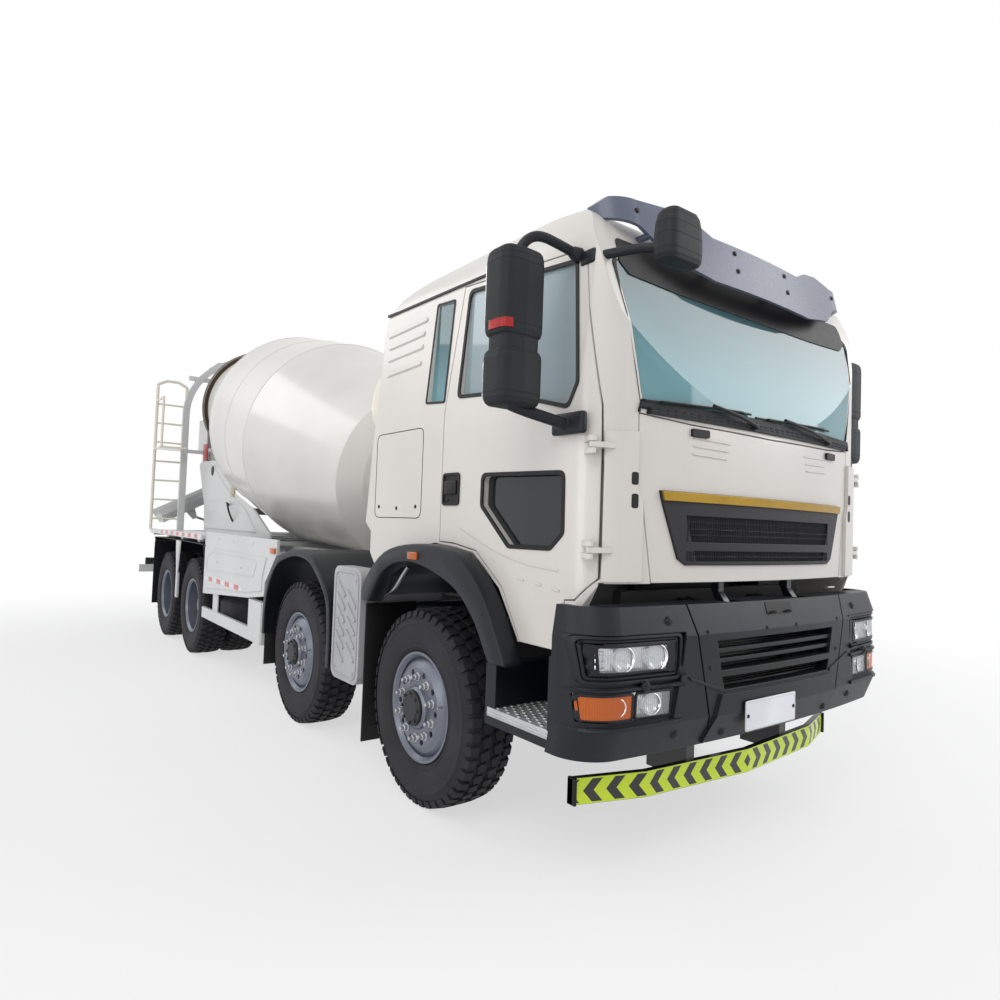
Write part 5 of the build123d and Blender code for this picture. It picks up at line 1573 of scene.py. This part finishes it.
@dataclass
class Mirrors:
    """Door mirrors and the front mirror, in place of their plain CAD housings."""

    plan: Outline = ((4.29, 1.286), (4.454, 1.286), (4.464, 1.4), (4.454, 1.512),
                     (4.29, 1.512))
    upper: Outline = ((2.352, 0.86), (2.36, 0.93), (2.376, 0.972), (2.4, 0.985),
                      (2.66, 0.985), (2.69, 0.965), (2.708, 0.92), (2.718, 0.84),
                      (2.7215, 0.7))
    lower: Outline = ((2.061, 0.66), (2.064, 0.8), (2.074, 0.9), (2.09, 0.96),
                      (2.115, 0.985), (2.262, 0.985), (2.28, 0.965), (2.292, 0.9))
    neck: Outline = ((2.285, 0.84), (2.36, 0.84))
    high_arm: Run = (
        (4.38, 1.4, 2.7), (4.39, 1.385, 2.76), (4.415, 1.32, 2.812), (4.432, 1.2, 2.79),
        (4.44, 1.1, 2.768))
    low_arm: Run = (
        (4.37, 1.4, 2.075), (4.385, 1.37, 2.062), (4.42, 1.26, 2.035), (4.45, 1.15, 2.012))

    def door(self, side: int, name: str) -> None:
        """Builds one door mirror."""
        body, arms, glass, lamp = Shape(), Shape(), Shape(), Shape()
        plan = rounded(sided(self.plan, side, 1), 0.05, 8)
        for levels in (self.upper, self.lower, self.neck):
            body.stacked(plan, levels)
        body.piece(f"mirror_housings_{name}", f"door_{name}", Finish.COARSE, [f"mirror_{name}"],
                   angle=50.0)
        for low, high in ((2.385, 2.68), (2.09, 2.262)):
            pane = rounded(field((side * 1.316, low), (side * 1.49, high)), 0.02)
            glass.sheet([Vector((4.293, y, z)) for y, z in pane], Vector((-0.004, 0, 0)))
        glass.piece(f"mirror_panes_{name}", f"door_{name}", Finish.MIRROR)
        run = [p for p in plan if p[0] > 4.36 and abs(p[1]) > 1.43] + [(4.35, side * 1.512)]
        lamp.stacked(band(run, -0.008 * side), [(2.372, 1.0), (2.41, 1.0)])
        lamp.piece(f"mirror_lamp_{name}", f"door_{name}", Finish.CRIMSON)
        arms.tube(sided(self.high_arm, side, 1), 0.022).tube(sided(self.low_arm, side, 1), 0.026)
        arms.rod((4.44, side * 1.1, 2.768), (4.437, side * 1.14, 2.776), 0.036, 0.026, 24, 0.004)
        arms.box((4.36, side * 1.128, 1.968), (4.56, side * 1.163, 2.063), 0.014, 4)
        for x in (4.385, 4.53):
            for z in (1.99, 2.04):
                arms.rod((x, side * 1.15, z), (x, side * 1.165, z), 0.006, sides=12)
        arms.piece(f"mirror_arms_{name}", f"door_{name}", Finish.PLASTIC)

    def front(self) -> None:
        """Builds the down-view mirror over the windscreen."""
        flat = rounded([(4.792, -1.043), (4.9, -1.035), (4.9, -0.815), (4.792, -0.807)], 0.05, 8)
        body = Shape().stacked(flat, [(2.657, 0.8), (2.662, 0.9), (2.675, 0.97), (2.7, 1.0),
                                      (2.76, 1.0), (2.81, 0.96), (2.85, 0.87), (2.87, 0.74),
                                      (2.878, 0.5)])
        body.piece("front_mirror_housing", "cab", Finish.COARSE, ["front_mirror"], angle=50.0)
        pane = rounded([(-1.005, 2.69), (-0.845, 2.69), (-0.86, 2.8), (-0.99, 2.8)], 0.02)
        glass = Shape().sheet([Vector((4.797, y, z)) for y, z in pane], Vector((-0.0045, 0, 0)))
        glass.piece("front_mirror_pane", "cab", Finish.MIRROR)
        arm = Shape().tube([(4.5, -1.085, 2.745), (4.56, -1.06, 2.748), (4.7, -1.0, 2.752),
                            (4.76, -0.96, 2.745), (4.8, -0.93, 2.74)], 0.021)
        arm.box((4.455, -1.11, 2.712), (4.545, -1.045, 2.778), 0.012, 3)
        arm.piece("front_mirror_arm", "cab", Finish.PLASTIC)

    def build(self) -> None:
        """Builds all mirrors."""
        for side, _, name in SIDES:
            self.door(side, name)
        self.front()


@dataclass
class Arches:
    """Wheel arches drawn as smooth flares, in place of their plain CAD outlines."""

    outer: Outline = ((2.705, 1.072), (2.728, 1.186), (2.982, 1.388), (3.377, 1.452),
                      (3.74, 1.418), (3.97, 1.257), (4.118, 1.044), (4.188, 0.927))
    inner: Outline = ((4.052, 0.927), (3.908, 1.12), (3.7, 1.26), (3.306, 1.345),
                      (2.99, 1.28), (2.8, 1.072))
    liner: Outline = ((2.72, 1.11), (2.86, 1.265), (3.3, 1.36), (3.71, 1.275),
                      (3.915, 1.11))
    second: Outline = ((0.85, 0.6), (0.862, 0.86), (0.96, 1.08), (1.13, 1.24),
                       (1.42, 1.318), (1.64, 1.33), (1.86, 1.29), (2.08, 1.15),
                       (2.2, 1.01), (2.236, 0.8), (2.236, 0.56))
    bogie: Outline = ((-3.79, 0.34), (-3.79, 1.1), (-3.74, 1.215), (-3.64, 1.256),
                      (-1.3, 1.256), (-1.182, 1.215), (-1.136, 1.11), (-1.136, 1.0))
    stay: Outline = ((-2.5, 1.25), (-2.27, 1.25), (-2.35, 0.86), (-2.42, 0.86))
    stay_face: Outline = ((-2.46, 1.2), (-2.31, 1.2), (-2.365, 0.95), (-2.405, 0.95))
    rail: float = 0.431

    def slab(self, shape: Shape, outline: Sequence[Flat], low: float, high: float,
             bevel: float = 0.0) -> None:
        """Adds an outline in x and z between two values of y."""
        shape.sheet([Vector((x, low, z)) for x, z in outline], Vector((0, high - low, 0)), bevel)

    def build(self) -> None:
        """Builds every arch."""
        cab, fender, flaps, stays = Shape(), Shape(), Shape(), Shape()
        for side in (-1, 1):
            curve = flowing(self.second)
            for shape, outline, low, high, bevel in (
                    (cab, flowing(self.outer) + flowing(self.inner), 1.13, 1.24, 0.014),
                    (cab, band(flowing(self.liner), 0.012), 0.56, 1.135, 0.0),
                    (fender, band(curve, 0.052), 1.216, 1.232, 0.004),
                    (fender, band(curve, 0.01), 0.64, 1.217, 0.0),
                    (fender, band(flowing(self.bogie, 3), 0.008), 0.56, 1.225, 0.0),
                    (stays, self.stay, 1.21, 1.225, 0.004),
                    (stays, self.stay_face, 1.222, 1.229, 0.002)):
                self.slab(shape, outline, side * low, side * high, bevel)
            for shape, low, high, bevel in (
                    (fender, (-1.23, self.rail, 1.18), (-1.17, 0.64, 1.249), 0.004),
                    (fender, (-2.415, self.rail, 1.18), (-2.355, 0.64, 1.249), 0.004),
                    (fender, (-3.73, self.rail, 1.18), (-3.67, 0.64, 1.249), 0.004),
                    (fender, (0.875, self.rail, 1.01), (0.925, 0.65, 1.06), 0.004),
                    (fender, (2.035, self.rail, 1.01), (2.085, 0.65, 1.06), 0.004),
                    (fender, (2.64, self.rail, 1.0), (2.684, 0.86, 1.04), 0.004),
                    (flaps, (2.684, 0.83, 0.19), (2.696, 1.19, 1.05), 0.004),
                    (flaps, (0.838, 0.83, 0.336), (0.848, 1.2, 0.7), 0.004),
                    *((flaps, (2.682, 0.88, z), (2.698, 1.14, z + 0.012), 0.003)
                      for z in (0.28, 0.34, 0.4, 0.46)),
                    (stays, (-2.42, 1.195, 0.56), (-2.35, 1.225, 0.862), 0.006)):
                shape.box(*sided((low, high), side, 1), bevel)
        cab.piece("cab_flares", "cab", Finish.PLASTIC, ["cab_arches"])
        fender.piece("fenders", "chassis", Finish.PLASTIC, ["mudguards"])
        flaps.piece("mud_flaps", "chassis", Finish.SEAL)
        stays.piece("fender_stays", "chassis", Finish.FRAME)
        pipe = Shape().tube([(2.735, -1.1, 1.085), (2.8, -1.1, 1.125), (2.87, -1.1, 1.15),
                             (2.93, -1.1, 1.2), (2.96, -1.09, 1.25), (3.0, -1.08, 1.3)], 0.013)
        pipe.piece("arch_pipe", "cab", Finish.STEEL)


@dataclass
class FlankTrim:
    """Cover ribs, step treads, reflecting tape and markers along the flanks."""

    pressing: Outline = ((-1.03, 0.99), (0.56, 1.04), (0.66, 1.2), (-0.78, 1.2),
                         (-0.96, 1.15))
    rivets: Outline = ((-0.6, 1.33), (-0.1, 1.33), (0.5, 1.33), (-0.6, 1.1), (0.2, 1.1))
    screws: Outline = ((2.33, 1.195), (2.6, 1.18), (2.33, 0.6), (2.6, 0.595))

    def cover(self, facing: Facing, name: str) -> None:
        """Builds the ribs and rim of the cover between the steered wheels."""
        skin = Skin(facing, "side_boxes")
        edge = field((2.288, 0.552), (2.646, 1.236), 0.07)
        ribs = Shape().laid(edge, skin, 0.006, 0.4, 0.002, grown(edge, -0.012))
        drop = 0.1
        for left, right, top in ((2.325, 2.45, 1.17), (2.485, 2.61, 1.11)):
            for z in [top - i * 0.085 for i in range(6)]:
                if z - drop > 0.6:
                    line = rounded(strip((left, z), (right, z - drop), 0.026), 0.009, 3)
                    ribs.laid(line, skin, 0.009, 0.4)
        for at in self.screws:
            ribs.stud(skin, at, 0.0, 0.005, 0.011, 0.009, 16, 0.001)
        ribs.piece(f"cover_ribs_{name}", "chassis", Finish.COVER)

    def step(self, side: int, name: str) -> None:
        """Builds the perforated aluminium tread of the cab step, with black discs in its holes as
        painted shade.
        """
        tread, dots = Shape(), Shape()
        tread.box((3.955, side * 0.83, 0.688), (4.478, side * 1.152, 0.694), 0.0015)
        tread.box((3.955, side * 1.149, 0.652), (4.478, side * 1.157, 0.694), 0.002)
        for z in (0.664, 0.676):
            tread.box((3.957, side * 1.155, z), (4.476, side * 1.159, z + 0.006), 0.001, 1)
        for i in range(13):
            for k in range(7):
                x = 3.978 + i * 0.04
                y = side * (0.862 + k * 0.042 + (0.021 if i % 2 else 0.0))
                tread.rod((x, y, 0.693), (x, y, 0.699), 0.013, 0.0085, 10)
                # Each hole is a black disc: painted shade of what lies under the tread.
                dots.rod((x, y, 0.6985), (x, y, 0.6996), 0.0055, sides=8)
        tread.piece(f"step_tread_{name}", "chassis", Finish.ALUMINIUM)
        dots.piece(f"step_holes_{name}", "chassis", Finish.SEAL)

    def build(self) -> None:
        """Builds both sides."""
        for side, facing, name in SIDES:
            self.cover(facing, name)
            self.step(side, name)
            skirt, deck = Skin(facing, "side_skirts"), Skin(facing, "rear_deck")
            tape = Shape().laid(field((-3.44, 1.31), (-1.19, 1.354)), deck, 0.001, 2.0)
            tape.laid(field((-1.05, 0.886), (0.24, 0.93)), skirt, 0.001, 2.0)
            tape.piece(f"marker_tape_{name}", "chassis", Finish.TAPE)
            lamp = Shape().box((0.97, side * 1.215, 1.27), (1.08, side * 1.236, 1.315), 0.006, 3)
            lamp.piece(f"flank_marker_{name}", "chassis", Finish.AMBER)
            edge = rounded(self.pressing, 0.05)
            panel = Shape().laid(edge, skirt, 0.003, 2.0, 0.002, grown(edge, -0.01))
            for at in self.rivets:
                panel.stud(skirt, at, 0.0, 0.006, 0.011, 0.009, 16, 0.001)
            panel.piece(f"skirt_pressing_{name}", "chassis", Finish.FRAME)


@dataclass
class PedestalTrim:
    """Roller guards, the inspection hole's painted shade, blank labels and hooks of the rear
    pedestal.
    """

    hook: Run = (
        (-2.05, 0.0, 1.7), (-2.0, 0.05, 1.74), (-1.9, 0.06, 1.7), (-1.86, 0.05, 1.6),
        (-1.86, 0.0, 1.5))

    def build(self) -> None:
        """Builds both sides."""
        for side, facing, name in SIDES:
            guard = Shape().box((-3.572, side * 0.698, 2.288), (-3.338, side * 0.711, 2.562), 0.003)
            guard.box((-3.545, side * 0.71, 2.31), (-3.365, side * 0.716, 2.54), 0.004)
            guard.piece(f"roller_guard_{name}", "chassis", Finish.RED)
            # A black disc stands for the inspection hole: painted shade of its inside.
            hole = Shape().rod((-2.89, side * 0.739, 2.16), (-2.89, side * 0.743, 2.16), 0.066,
                               sides=40, bevel=0.001)
            hole.piece(f"pedestal_hole_{name}", "chassis", Finish.SEAL)
            rear = Skin(facing, "rear_pedestal")
            label = Shape().laid(field((-2.02, 1.8), (-1.9, 1.93), 0.01), rear, 0.0015, 2.0)
            label.piece(f"blank_label_{name}", "chassis", Finish.LABEL)
            y = rear.depth(-1.9, 1.62)
            hook = Shape().tube([(x, y + side * out, z) for x, out, z in self.hook], 0.011)
            hook.piece(f"pedestal_hook_{name}", "chassis", Finish.SEAL)


@dataclass
class DrumTrim:
    """Raceway, seams and the mixing blades seen through the mouth of the drum."""

    foot: Spot = (1.225, 0.0, 1.967)
    tilt: float = 14.2
    seams: Outline = ((1.65, 1.1), (3.013, 1.1), (2.33, 1.1))
    mouth: float = 4.2
    blade: Outline = ((4.2, 0.26), (4.2, 0.5), (4.207, 0.5), (4.207, 0.26))

    def at(self, reach: float) -> Vector:
        """Point on the drum's axis."""
        return Vector(self.foot) + self.way * reach

    @property
    def way(self) -> Vector:
        """Direction of the drum's axis, towards its mouth."""
        angle = math.radians(self.tilt)
        return Vector((-math.cos(angle), 0, math.sin(angle)))

    def build(self) -> None:
        """Builds the pieces."""
        ring, seams, blades = Shape(), Shape(), Shape()
        ring.turned([(-0.047, 0.76), (-0.047, 0.806), (-0.04, 0.813), (0.04, 0.813),
                     (0.047, 0.806), (0.047, 0.76)], self.at(4.64), self.way, 96)
        ring.piece("raceway", "drum", Finish.RING)
        for reach, r in self.seams:
            seams.turned([(-0.012, r - 0.004), (-0.006, r + 0.003), (0.0, r + 0.005),
                          (0.006, r + 0.003), (0.012, r - 0.004)], self.at(reach), self.way, 96)
        seams.piece("drum_seams", "drum", Finish.DRUM)
        start = self.at(self.mouth)
        for turn in (0.0, math.pi):
            rim = [blades.bm.verts.new(self.at(reach) + Vector((0, r, 0)))
                   for reach, r in self.blade]
            edges = [blades.bm.edges.new(pair) for pair in zip(rim, rim[1:] + rim[:1])]
            bmesh.ops.transform(blades.bm, matrix=Matrix.Rotation(turn, 4, self.way), verts=rim,
                                space=Matrix.Translation(-start))
            bmesh.ops.spin(blades.bm, geom=rim + edges, cent=start, axis=self.way,
                           angle=math.tau, steps=48, dvec=self.way * (0.7 / 48), use_merge=False)
        blades.piece("mouth_blades", "drum", Finish.STEEL)


@dataclass
class RearTrim:
    """Rims of the hopper and collector, and the blank rear plate."""

    hopper: Run = (
        (-4.447, -0.467, 3.822), (-3.948, -0.467, 3.822), (-3.948, 0.467, 3.822),
        (-4.447, 0.467, 3.822))
    collector: Run = (
        (-4.497, -0.557, 2.996), (-3.993, -0.557, 2.996), (-3.993, -0.557, 2.6))

    def build(self) -> None:
        """Builds the pieces."""
        rims, plate = Shape().rim(self.hopper, 0.012).rim(self.collector, 0.009), Shape()
        rims.piece("hopper_rims", "chassis", Finish.FRAME)
        plate.box((-4.845, 0.13, 0.801), (-4.842, 0.57, 0.935), 0.001)
        plate.box((-4.841, 0.14, 0.801), (-4.838, 0.56, 0.83), 0.001)
        for y in (0.15, 0.55):
            plate.rod((-4.844, y, 0.87), (-4.848, y, 0.87), 0.007, sides=14)
        plate.piece("blank_rear_plate", "chassis", Finish.PLATE)


@dataclass
class Studio:
    """Floor, background, lamps and camera."""

    position: Spot = (6.627, -3.1397, 1.5642)
    yaw: float = 142.945
    pitch: float = 2.174
    roll: float = 2.039
    lens: float = 24.6

    def camera(self) -> None:
        """Places the camera where the photograph was taken."""
        yaw, pitch, roll = (math.radians(v) for v in (self.yaw, self.pitch, self.roll))
        ahead = Vector((math.cos(yaw) * math.cos(pitch), math.sin(yaw) * math.cos(pitch),
                        math.sin(pitch)))
        right = Vector((math.sin(yaw), -math.cos(yaw), 0))
        up = right.cross(ahead)
        across = right * math.cos(roll) + up * math.sin(roll)
        rise = up * math.cos(roll) - right * math.sin(roll)
        data = bpy.data.cameras.new("photo_camera")
        data.lens, data.sensor_width, data.clip_end = self.lens, 36.0, 200.0
        camera = bpy.data.objects.new("photo_camera", data)
        place = Matrix((across, rise, -ahead)).transposed().to_4x4()
        place.translation = Vector(self.position)
        camera.matrix_world = place
        bpy.context.scene.collection.objects.link(camera)
        bpy.context.scene.camera = camera

    def lamp(self, name: str, place: Spot, aim: Spot, size: float, power: float,
             colour: Colour = (1, 1, 1)) -> None:
        """Adds a square soft lamp.

        Args:
            name: its name.
            place: where it stands.
            aim: the point that it looks at.
            size: its edge.
            power: its power in watts.
            colour: its colour.
        """
        data = bpy.data.lights.new(name, "AREA")
        data.size, data.energy, data.color = size, power, colour
        lamp = bpy.data.objects.new(name, data)
        lamp.location = place
        lamp.rotation_euler = (Vector(aim) - Vector(place)).to_track_quat("-Z", "Y").to_euler()
        bpy.context.scene.collection.objects.link(lamp)

    def world(self) -> None:
        """Lights the scene evenly and shows white to the camera and in reflections."""
        world = bpy.data.worlds.new("studio")
        bpy.context.scene.world = world
        world.use_nodes = True
        world.node_tree.nodes.clear()
        tree = Tree(world.node_tree)
        fill = tree.node("ShaderNodeBackground", {}, (0.95, 0.97, 1.0, 1.0), 0.56)
        shown = tree.node("ShaderNodeBackground", {}, (1.0, 1.0, 1.0, 1.0), 1.0)
        both = tree.node("ShaderNodeMixShader", {}, tree.beheld(), fill, shown)
        out = tree.tree.nodes.new("ShaderNodeOutputWorld")
        tree.feed(out.inputs["Surface"], both)

    def build(self) -> None:
        """Builds the whole studio."""
        self.camera()
        self.world()
        self.lamp("key", (9.0, -9.0, 10.0), (1.5, 0.0, 1.2), 7.0, 500.0, (1.0, 0.965, 0.9))
        self.lamp("fill", (9.0, 7.0, 6.0), (1.0, 0.0, 1.5), 6.0, 330.0)
        self.lamp("flank", (3.5, -10.0, 2.2), (2.5, 0.0, 1.3), 4.0, 150.0, (0.96, 0.98, 1.0))
        self.lamp("back", (-9.0, -7.0, 9.0), (-2.0, 0.0, 2.0), 6.0, 250.0)
        shape = bmesh.new()
        bmesh.ops.create_grid(shape, x_segments=8, y_segments=8, size=60.0)
        mesh = bpy.data.meshes.new("floor")
        shape.to_mesh(mesh)
        shape.free()
        floor = bpy.data.objects.new("floor", mesh)
        floor.data.materials.append(Finish.FLOOR.material())
        bpy.context.scene.collection.objects.link(floor)
        bpy.context.scene.view_settings.view_transform = "Standard"


def main() -> None:
    """Builds the studio and dresses the truck."""
    logging.basicConfig(level=logging.INFO, format="%(name)s: %(message)s")
    Studio().build()
    Carrier().dress()
    RunningGear().build()
    for part in (FrontTrim, GlassTrim, LampSet, BumperTrim, ScreenTrim, CabSideTrim, VisorTrim,
                 Mirrors, Arches, FlankTrim, PedestalTrim, DrumTrim, RearTrim):
        part().build()


if __name__ == "__main__":
    main()
